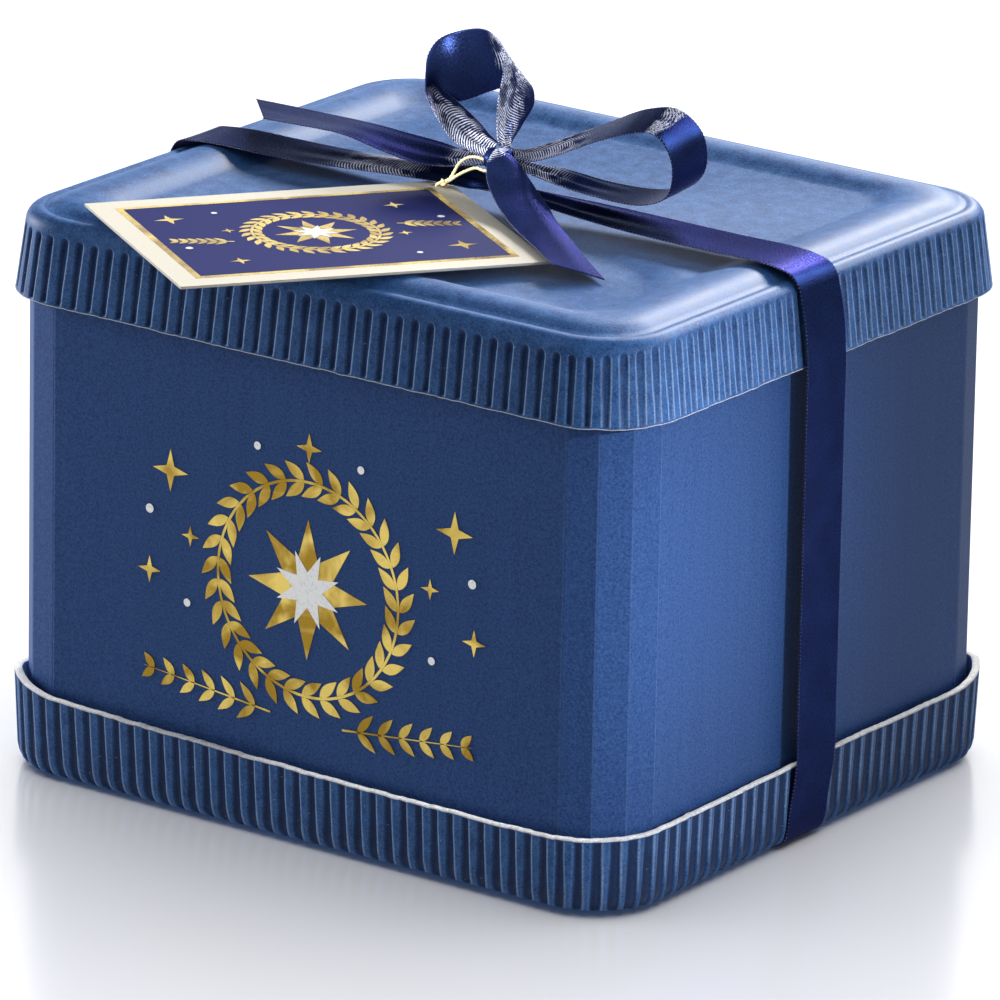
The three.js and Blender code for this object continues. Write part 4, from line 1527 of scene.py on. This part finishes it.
    def build(self, rows: RowTree, satin: bpy.types.Material, thread: bpy.types.Material) -> None:
        """Builds every strip, the knot, and the thread along the edges.

        Args:
            rows: The tree that sets copies along a line.
            satin: The ribbon's finish.
            thread: The selvedge's finish.
        """
        grain = self.stitch()
        for strip in self.strips():
            _, edges = strip.build(satin)
            count = len(edges)
            points = np.concatenate([edges[:, 0], edges[:, 1]])
            points[:, 2] = np.maximum(points[:, 2], 0.2)
            links = [link for start in (0, count) for link in closed_line(start, count, strip.looped)]
            piece = mesh_object(strip.part.value + "_selvedge", points, [], edges=links)
            rows.put_on(piece, Spacing=self.stitch_mm * MM, Up=(0.0, 0.0, 1.0), Piece=grain,
                        Material=thread)
            piece.data.shade_smooth()
            hand_over(piece)
        bpy.data.objects.remove(grain)
        self.build_knot(satin)


@dataclass
class Sheetlet:
    """A flat place to print on: its middle, its two directions and the way it faces."""

    middle: Point
    right: Point
    up: Point

    @property
    def facing(self) -> np.ndarray:
        """Gives the direction the place faces."""
        return unit(np.cross(self.right, self.up))

    def place(self, flat: np.ndarray, off: float) -> np.ndarray:
        """Sets flat points on the place.

        Args:
            flat: Rows of x and y on the place.
            off: How far off its face.

        Returns:
            Rows of x, y, z.
        """
        flat = np.asarray(flat, float)
        right, up = unit(np.asarray(self.right, float)), unit(np.asarray(self.up, float))
        raised = np.asarray(self.middle, float) + flat[:, :1] * right + flat[:, 1:2] * up
        return raised + off * self.facing


def star(points: int, outer: float, inner: float, at: Point = (0, 0), turn: float = 0.0) -> np.ndarray:
    """Draws a star.

    Args:
        points: How many points it has.
        outer: Its points' radius.
        inner: Its hollows' radius.
        at: Its middle.
        turn: How far it is turned, in radians.

    Returns:
        Its outline.
    """
    angles = turn + math.pi / 2 + np.arange(2 * points) * math.pi / points
    reach = np.where(np.arange(2 * points) % 2 == 0, outer, inner)
    return polar(reach, angles) + np.asarray(at, float)


def disc(radius: float, at: Point = (0, 0), sides: int = 24) -> np.ndarray:
    """Draws a disc's outline."""
    return polar(radius, round_angles(sides)) + np.asarray(at, float)


def leaf(length: float, width: float, at: Point = (0, 0), turn: float = 0.0) -> np.ndarray:
    """Draws a pointed leaf that starts at a place and points along an angle.

    Args:
        length: How long it is.
        width: How wide it is.
        at: Where it starts.
        turn: The angle that it points along, in radians.

    Returns:
        Its outline.
    """
    t = np.linspace(0, 1, 9)
    side = width / 2 * np.sin(math.pi * t ** 0.8)
    outline = np.concatenate([np.column_stack([t * length, side]),
                              np.column_stack([t[::-1] * length, -side[::-1]])[1:-1]])
    spin = np.array([[math.cos(turn), math.sin(turn)], [-math.sin(turn), math.cos(turn)]])
    return outline @ spin + np.asarray(at, float)


@dataclass
class Ornament:
    """A printed ornament: a leaf wreath round a star, with sprigs and small stars about it."""

    name: str
    ground: Sheetlet
    slot: str
    thick: float = 0.12
    wreath: float = 35.0
    leaf_size: tuple[float, float] = (9.0, 3.6)
    spacing: float = 7.2
    big_star: float = 23.0
    hollow: float = 0.44
    stem: tuple[float, float] = (0.35, 0.1)
    leaf_turn: float = 0.75
    small_stars: Sequence[tuple[float, float, float]] = ()
    white_dots: Sequence[tuple[float, float, float]] = ()
    sprigs: Sequence[tuple[float, float, float, float]] = ()

    def plate(self, name: str, shapes: Sequence[np.ndarray], ink: bpy.types.Material,
              lift: float = 0.0) -> bpy.types.Object:
        """Lays thin plates of foil or ink on the ground.

        Args:
            name: The piece's name.
            shapes: Outlines on the ground.
            ink: Their finish.
            lift: How far their backs lie off the ground.

        Returns:
            The plates as one piece.
        """
        points, faces, base = [], [], 0
        for shape in shapes:
            count = len(shape)
            points += [self.ground.place(shape, lift), self.ground.place(shape, lift + self.thick)]
            faces += [list(range(base, base + count))[::-1],
                      list(range(base + count, base + 2 * count)), *grid_faces(2, count, base)]
            base += 2 * count
        piece = mesh_object(name, np.concatenate(points), faces, smooth=False)
        face_outwards(piece)
        piece.data.materials.append(ink)
        return piece

    def ring(self, radius: float, width: float, sides: int = 72) -> list[np.ndarray]:
        """Draws a thin ring as a row of short bars."""
        inner, outer = (polar(radius + side * width / 2, round_angles(sides)) for side in (-1, 1))
        return [np.array([inner[k], outer[k], outer[after], inner[after]])
                for k, after in closed_line(0, sides)]

    def build(self, rows: RowTree, foil: bpy.types.Material, white: bpy.types.Material) -> None:
        """Builds the ornament's foil, its leaves and its white ink.

        Args:
            rows: The tree that sets copies along a line.
            foil: The gold finish.
            white: The white finish.
        """
        gold = [star(8, self.big_star, self.big_star * self.hollow)]
        gold += [star(4, size, size * 0.3, (x, y)) for x, y, size in self.small_stars]
        gold += self.ring(self.wreath, 0.9)
        for x, y, turn, reach in self.sprigs:
            stem = np.array([math.cos(turn), math.sin(turn)])
            side = np.array([-stem[1], stem[0]])
            start = np.array([x, y])
            root, tip = side * self.stem[0], side * self.stem[1]
            gold.append(np.array([start - root, start + stem * reach - tip,
                                  start + stem * reach + tip, start + root]))
            for share in np.linspace(0.12, 0.92, 6):
                for hand in (-1, 1):
                    gold.append(leaf(self.leaf_size[0] * (1.05 - 0.4 * share), self.leaf_size[1] * 0.8,
                                     start + stem * reach * share, turn + hand * self.leaf_turn))
        inks = [self.plate(self.name + "_foil", gold, foil)]
        dots = 180
        line = self.ground.place(polar(self.wreath, round_angles(dots)), 0.0)
        wreath = mesh_object(self.name + "_wreath", line, [], edges=closed_line(0, dots))
        pair = Ornament("pair", Sheetlet((0, 0, 0), (1, 0, 0), (0, 1, 0)), self.slot, self.thick)
        leaves = pair.plate("leaf_pair", [leaf(*self.leaf_size, (0, 0.6), 0.62),
                                          leaf(*self.leaf_size, (0, -0.6), -0.62)], foil)
        rows.put_on(wreath, Spacing=self.spacing * MM, Up=tuple(self.ground.facing), Piece=leaves,
                    Material=foil)
        bpy.data.objects.remove(leaves)
        inks.append(wreath)
        pale = [star(8, self.big_star * 0.56, self.big_star * 0.25, turn=math.pi / 8)]
        pale += [disc(size, (x, y)) for x, y, size in self.white_dots]
        inks.append(self.plate(self.name + "_white", pale, white, self.thick))
        for piece in inks:
            hand_over(piece)


@dataclass
class Tag:
    """The card tag: a printed plate with an eyelet in its back corner."""

    corner: Point = (-91.5, -98.8, 189.2)
    along: Point = (0.5598, 0.8285, -0.018)
    across: Point = (0.8286, -0.5597, 0.006)
    length: float = 120.0
    depth: float = 96.0
    thick: float = 0.8
    hole: float = 2.0
    margin: float = 5.0
    frame_half: tuple[float, float] = FIELD_HALF
    frame_mm: float = 2.1

    @property
    def ground(self) -> Sheetlet:
        """Gives the tag's printed face, which reads from the front left."""
        along, across = unit(np.asarray(self.along)), unit(np.asarray(self.across))
        facing = unit(np.cross(across, along))
        across = unit(np.cross(along, facing))
        middle = (np.asarray(self.corner) + along * self.length / 2 + across * self.depth / 2
                  + facing * self.thick)
        return Sheetlet(tuple(middle), tuple(along), tuple(-across))

    def build(self, rows: RowTree, card: bpy.types.Material, foil: bpy.types.Material,
              white: bpy.types.Material) -> bpy.types.Object:
        """Builds the card with its eyelet, its frame and its ornament.

        Args:
            rows: The tree that sets copies along a line.
            card: The card's finish.
            foil: The gold finish.
            white: The white finish.

        Returns:
            The card.
        """
        ground = self.ground
        half = np.array([self.length, self.depth]) / 2
        eye = half - self.margin
        sides = 32
        rays = polar(1, round_angles(sides))
        reach = [min((half[axis] * np.sign(ray[axis]) - eye[axis]) / ray[axis]
                     for axis in (0, 1) if abs(ray[axis]) > 1e-6) for ray in rays]
        rim = eye + np.asarray(reach)[:, None] * rays
        corners = half * [[1, 1], [-1, 1], [-1, -1], [1, -1]]
        outer = np.concatenate([rim, corners])
        bearings = np.arctan2(*(outer - eye).T[::-1]) % (2 * math.pi)
        order = np.argsort(bearings, kind="stable")
        outer, bearings = outer[order], bearings[order]
        count = len(outer)
        ray_of = (bearings * sides / (2 * math.pi) + 1e-6).astype(int) % sides
        faces = []
        for k, after in closed_line(0, count):
            a, b = count + ray_of[k], count + ray_of[after]
            faces.append([k, after, b] if a == b else [k, after, b, a])
        flat = np.concatenate([outer, eye + self.hole * rays])
        total = len(flat)
        faces += [[total + point for point in face][::-1] for face in faces]
        faces += [(a, b, total + b, total + a)
                  for a, b in closed_line(0, count) + closed_line(count, sides)]
        points = np.concatenate([ground.place(flat, off) for off in (0.0, -self.thick)])
        piece = mesh_object("tag_card", points, faces, smooth=False)
        face_outwards(piece)
        unprinted = np.full_like(flat, 1e3)
        set_uv(piece, CARD_UV, np.concatenate([flat, unprinted]))
        piece.data.materials.append(card)
        hand_over(piece, "tag")
        self.build_frame(foil)
        Ornament("tag_ornament", ground, "card", thick=0.06, wreath=20.0, leaf_size=(5.4, 2.3),
                 spacing=4.3, big_star=13.5,
                 small_stars=((-40, 24, 5), (40, -24, 5), (-33, -25, 3.5), (34, 24, 3.5),
                              (-26, 8, 2.4), (27, -7, 2.4)),
                 white_dots=((-44, -8, 1.2), (44, 8, 1.2), (-24, 28, 1.0), (24, -29, 1.0)),
                 sprigs=((-28, -4, math.pi - 0.25, 19), (28, 4, -0.25, 19))
                 ).build(rows, foil, white)
        return piece

    def build_frame(self, foil: bpy.types.Material) -> None:
        """Lays the gilt frame round the blue field.

        Args:
            foil: The gold finish.
        """
        turns = np.array([[-1, 1], [1, 1], [1, -1], [-1, -1]])
        outer = turns * self.frame_half
        inner = outer - turns * self.frame_mm
        bars = [np.array([outer[a], outer[b], inner[b], inner[a]]) for a, b in closed_line(0, 4)]
        frame = Ornament("tag_frame", self.ground, "card", thick=0.05)
        hand_over(frame.plate("tag_frame", bars, foil))


@dataclass
class Cord:
    """The gilt cord: from its own knot down through the eyelet, under the tag's edge, round the
    gathered ribbon and back."""

    diameter: float = 1.1
    lay_mm: float = 2.6
    hollow: float = 0.28
    sides: int = 16
    knot_reach: float = 0.85
    knot_share: float = 0.84
    path: Sequence[Point] = (
        (-19.4, -7.6, 189.7), (-17.4, -6.9, 191.2), (-16.3, -6.2, 193.4), (-14.9, -5.2, 196.4),
        (-12.6, -4.4, 198.3), (-9.6, -4.2, 199.1), (-6.6, -4.0, 198.8), (-4.2, -3.4, 197.6),
        (-3.4, -3.4, 196.0), (-5.4, -4.6, 195.4), (-8.5, -5.2, 195.9), (-12.0, -5.8, 194.4),
        (-15.4, -6.4, 192.2), (-17.8, -7.0, 190.4), (-19.8, -7.3, 189.8), (-21.6, -7.1, 188.9),
        (-22.8, -6.5, 188.0), (-22.95, -6.2, 187.0), (-22.4, -5.2, 186.1), (-20.6, -4.4, 186.3),
        (-19.0, -5.6, 187.6), (-18.8, -7.2, 188.9))

    def tube(self, name: str, line: np.ndarray, radius: float) -> bpy.types.Object:
        """Sweeps a two-strand twist along a line.

        Args:
            name: The piece's name.
            line: The points it follows.
            radius: The twist's outer radius.

        Returns:
            The tube with closed ends.
        """
        along = unit(np.gradient(line, axis=0))
        side = unit(np.cross(along[0], np.array([0.3, 0.2, 1.0])))
        angles = round_angles(self.sides)
        points = []
        for spot, tangent, place in zip(line, along, run_of(line)):
            side = unit(side - tangent * (side @ tangent))
            twist = np.abs(np.cos(angles - 2 * math.pi * place / self.lay_mm))
            flat = polar(radius * (1 - self.hollow + self.hollow * twist), angles)
            points.append(spot + flat @ np.array([side, np.cross(tangent, side)]))
        last = (len(line) - 1) * self.sides
        caps = [list(range(self.sides))[::-1], list(range(last, last + self.sides))]
        piece = mesh_object(name, np.concatenate(points), grid_faces(len(line), self.sides) + caps)
        face_outwards(piece)
        return piece

    def build(self, thread: bpy.types.Material) -> None:
        """Builds the cord and its knot, which is a line wound twice round a small ring.

        Args:
            thread: The cord's finish.
        """
        line = Curve(self.path).at(np.linspace(0, 1, 260))
        turn = np.linspace(0, 4 * math.pi, 120)
        wound = 0.75 + 0.3 * np.cos(1.5 * turn)
        loops = np.column_stack([wound * np.cos(turn), 0.75 * np.sin(1.5 * turn), wound * np.sin(turn)])
        wrap = np.asarray(self.path[0]) + loops * self.knot_reach
        cord = self.tube("gilt_cord", line, self.diameter / 2)
        knot = self.tube("gilt_cord_knot", wrap, self.diameter / 2 * self.knot_share)
        for piece, node in ((cord, "tag_cord"), (knot, "")):
            piece.data.materials.append(thread)
            hand_over(piece, node)
        LOG.info("%s: %.1f mm long", cord.name, run_of(line)[-1])


@dataclass
class Lamp:
    """A soft box: where it hangs and what it faces, and its width and height, in metres; its power
    in watts; its colour; the group that it lights, or everything; and its beam's angle in degrees."""

    name: str
    at: Point
    size: tuple[float, float]
    power: float
    aim: Point = (0.0, 0.0, 0.15)
    tint: str = "#ffffff"
    lights: str = ""
    spread: float = 180.0

    def hang(self) -> None:
        """Adds the lamp to the scene."""
        data = bpy.data.lights.new(self.name, "AREA")
        data.shape, data.energy = "RECTANGLE", self.power
        data.size, data.size_y = self.size
        data.spread = math.radians(self.spread)
        data.color = linear(self.tint)[:3]
        lamp = bpy.data.objects.new(self.name, data)
        if self.lights:
            lamp.light_linking.receiver_collection = bpy.data.collections[self.lights]
        lamp.location = self.at
        lamp.rotation_mode = "QUATERNION"
        lamp.rotation_quaternion = (Vector(self.aim) - Vector(self.at)).to_track_quat("-Z", "Y")
        bpy.context.scene.collection.objects.link(lamp)


# The group box is everything but the floor, ground is the floor alone, and mirrors is the floor with
# the gilt on the tag.
LAMPS = (
    Lamp("key", (-0.65, 2.0, 1.35), (0.5, 0.5), 49.0, tint="#fffcf7", lights="box"),
    Lamp("rim", (0.6, 2.0, 1.42), (1.8, 0.5), 62.0, tint="#f8faff", lights="box"),
    Lamp("side", (2.4, 0.0, 1.0), (1.0, 1.0), 0.9, (0.0, 0.0, 0.08), "#f6f8ff", "box"),
    Lamp("beam", (1.8, 0.0, 0.75), (0.06, 0.1), 0.068, (0.125, -0.085, 0.11), "#f6f8ff", "box", 8.0),
    Lamp("left", (-1.7, -0.18, 0.38), (0.6, 0.6), 22.0, (0.0, 0.0, 0.1), "#f6f8ff", "box"),
    Lamp("low_wall", (-2.2, 2.1, 0.35), (2.4, 0.55), 6.5),
    Lamp("back_wall", (-1.9, 2.65, 1.0), (3.0, 2.0), 18.0, (0.0, 0.0, 0.1), lights="mirrors"),
    Lamp("floor_lamp", (0.0, 0.8, 4.5), (6.0, 6.0), 400.0, (0.0, 0.8, 0.0), lights="ground"),
)


@dataclass
class Studio:
    """The photograph's camera, a pale polished floor and soft light."""

    yaw: float = 0.6235
    pitch: float = 0.3132
    roll: float = 0.0182
    lens: float = 373.2
    sensor: float = 36.0
    off_axis: tuple[float, float] = (-1.0, -82.275)
    distance: float = 3322.4
    floor_half: float = 6000.0
    room: str = "#f6f8ff"
    room_strength: float = 0.29

    def camera(self) -> None:
        """Sets up the camera at the photograph's viewing angle."""
        right = np.array([math.cos(self.yaw), math.sin(self.yaw), 0.0])
        ahead = np.array([-math.sin(self.yaw) * math.cos(self.pitch),
                          math.cos(self.yaw) * math.cos(self.pitch), -math.sin(self.pitch)])
        up = np.cross(right, ahead)
        lean, level = math.sin(self.roll), math.cos(self.roll)
        right, up = level * right + lean * up, -lean * right + level * up
        place = -self.off_axis[0] * right - self.off_axis[1] * up - self.distance * ahead
        data = bpy.data.cameras.new("photo_camera")
        data.lens, data.sensor_width = self.lens, self.sensor
        data.clip_start, data.clip_end = 0.1, 50.0
        camera = bpy.data.objects.new("photo_camera", data)
        turn = Matrix((right, up, -ahead)).transposed().to_4x4()
        camera.matrix_world = Matrix.Translation(Vector(place * MM)) @ turn
        bpy.context.scene.collection.objects.link(camera)
        bpy.context.scene.camera = camera

    def lit_group(self, name: str, pieces: Sequence[str], state: str) -> bpy.types.Collection:
        """Makes or enlarges a group that a lamp lights alone, or lights everything but.

        Args:
            name: The group's name.
            pieces: The names of the pieces that it takes.
            state: INCLUDE for these alone, EXCLUDE for everything else.

        Returns:
            The group.
        """
        group = bpy.data.collections.get(name) or bpy.data.collections.new(name)
        for number, piece in enumerate(pieces, start=len(group.objects)):
            group.objects.link(bpy.data.objects[piece])
            group.collection_objects[number].light_linking.link_state = state
        return group

    def flag_off(self, lamp: str, pieces: Sequence[str]) -> None:
        """Stands a flag between a lamp and some pieces, so that it lights none of them."""
        group = self.lit_group(lamp + "_flag", ["floor", *pieces], "EXCLUDE")
        bpy.data.objects[lamp].light_linking.receiver_collection = group

    def lift(self, name: str, at: Point, power: float, pieces: Sequence[str]) -> None:
        """Hangs a lamp for a few pieces that the photograph shows brighter than what is round them.

        Args:
            name: The lamp's name.
            at: Where it hangs, in metres.
            power: Its power in watts.
            pieces: The names of the pieces.
        """
        self.lit_group(name + "_alone", pieces, "INCLUDE")
        Lamp(name, at, (0.4, 0.4), power, lights=name + "_alone").hang()

    def build(self) -> None:
        """Sets up the camera, floor, lamps and surrounding light."""
        self.camera()
        half = self.floor_half
        floor = mesh_object("floor", np.array([[-half, -half, 0], [half, -half, 0], [half, half, 0],
                                               [-half, half, 0]]), [(0, 1, 2, 3)], smooth=False)
        floor.data.materials.append(PlainFinish.PALE_ACRYLIC.value.material())
        world = bpy.data.worlds.new("soft_room")
        bpy.context.scene.world = world
        world.use_nodes = True
        set_inputs(world.node_tree.nodes["Background"],
                   {"Color": linear(self.room), "Strength": self.room_strength})
        world.cycles_visibility.glossy = False
        floor.visible_diffuse = False
        for name, state in (("box", "EXCLUDE"), ("ground", "INCLUDE"), ("mirrors", "INCLUDE")):
            self.lit_group(name, ["floor"], state)
        for lamp in LAMPS:
            lamp.hang()
        bpy.context.scene.view_settings.view_transform = "Standard"
        LOG.info("studio ready")


def main() -> None:
    """Builds the studio and every piece of the box in order."""
    logging.basicConfig(level=logging.INFO, format="%(name)s: %(message)s")
    studio = Studio()
    studio.build()
    flute_tree, row_tree = FluteTree(), RowTree()
    paper = PressedBoardPaper().material()
    raw = PlainFinish.RAW_BOARD_EDGE.value.material()
    satin = SatinWeave().material()
    foil = HotFoil().material()
    white = PlainFinish.OPAQUE_INK.value.material()
    Cord().build(PlainFinish.GILT_THREAD.value.material())
    Dish("tray", 27.3, -1, TRAY_CROWN, flare=1.2, wall=2.1, wall_top=20.4, flute_top=27.1,
         raw_reach=0.7, corner_loss=0.5, groove=(-4.6, 21.8, 1.0), edge_line=TRAY_EDGE,
         foot_line=TRAY_FOOT, lit_share=0.0, broaden=0.32, fade=0.85,
         groove_half=1.9).build(flute_tree, paper, raw)
    Dish("lid", 157.9, 1, LID_CROWN, seed=19).build(flute_tree, paper, raw)
    Sleeve().build(PrintedSleeve().material())
    studio.flag_off("rim", ["tray_shell", "body_sleeve"])
    Ribbon().build(row_tree, satin, PlainFinish.SELVEDGE_THREAD.value.material())
    Tag().build(row_tree, TagCard().material(), foil, white)
    front = Sheetlet((2.0, -104.85, 84.0), (1, 0, 0), (0, 0, 1))
    Ornament("front_ornament", front, "board",
             small_stars=((-54, 28, 7), (56, 30, 7), (-62, -6, 4.5), (64, -4, 4.5), (-46, 8, 3.5),
                          (47, 10, 3.5), (0, 46, 5)),
             white_dots=((-62, 14, 1.5), (63, 15, 1.5), (-47, -14, 1.3), (48, -13, 1.3),
                         (-20, 43, 1.3), (20, 43, 1.3)),
             sprigs=((-14, -43, math.pi - 0.1, 50), (14, -43, 0.1, 50))).build(row_tree, foil, white)
    studio.lift("print", (-0.6, -2.2, 0.5), 18.0, ["front_ornament_white"])
    studio.lift("bow", (-0.5, -2.2, 1.4), 104.0, [
        "bow_loop_upright_satin", "bow_loop_upright_selvedge", "bow_knot_satin", "bow_tail_front_satin",
        "gilt_cord", "gilt_cord_knot"])
    studio.lift("edge", (0.35, -0.4, 3.0), 38.0, ["tray_shell"])
    studio.lit_group("mirrors", ["tag_frame", "tag_ornament_foil", "tag_ornament_wreath"], "INCLUDE")
    studio.flag_off("key", ["bow_loop_side_satin"])


if __name__ == "__main__":
    main()
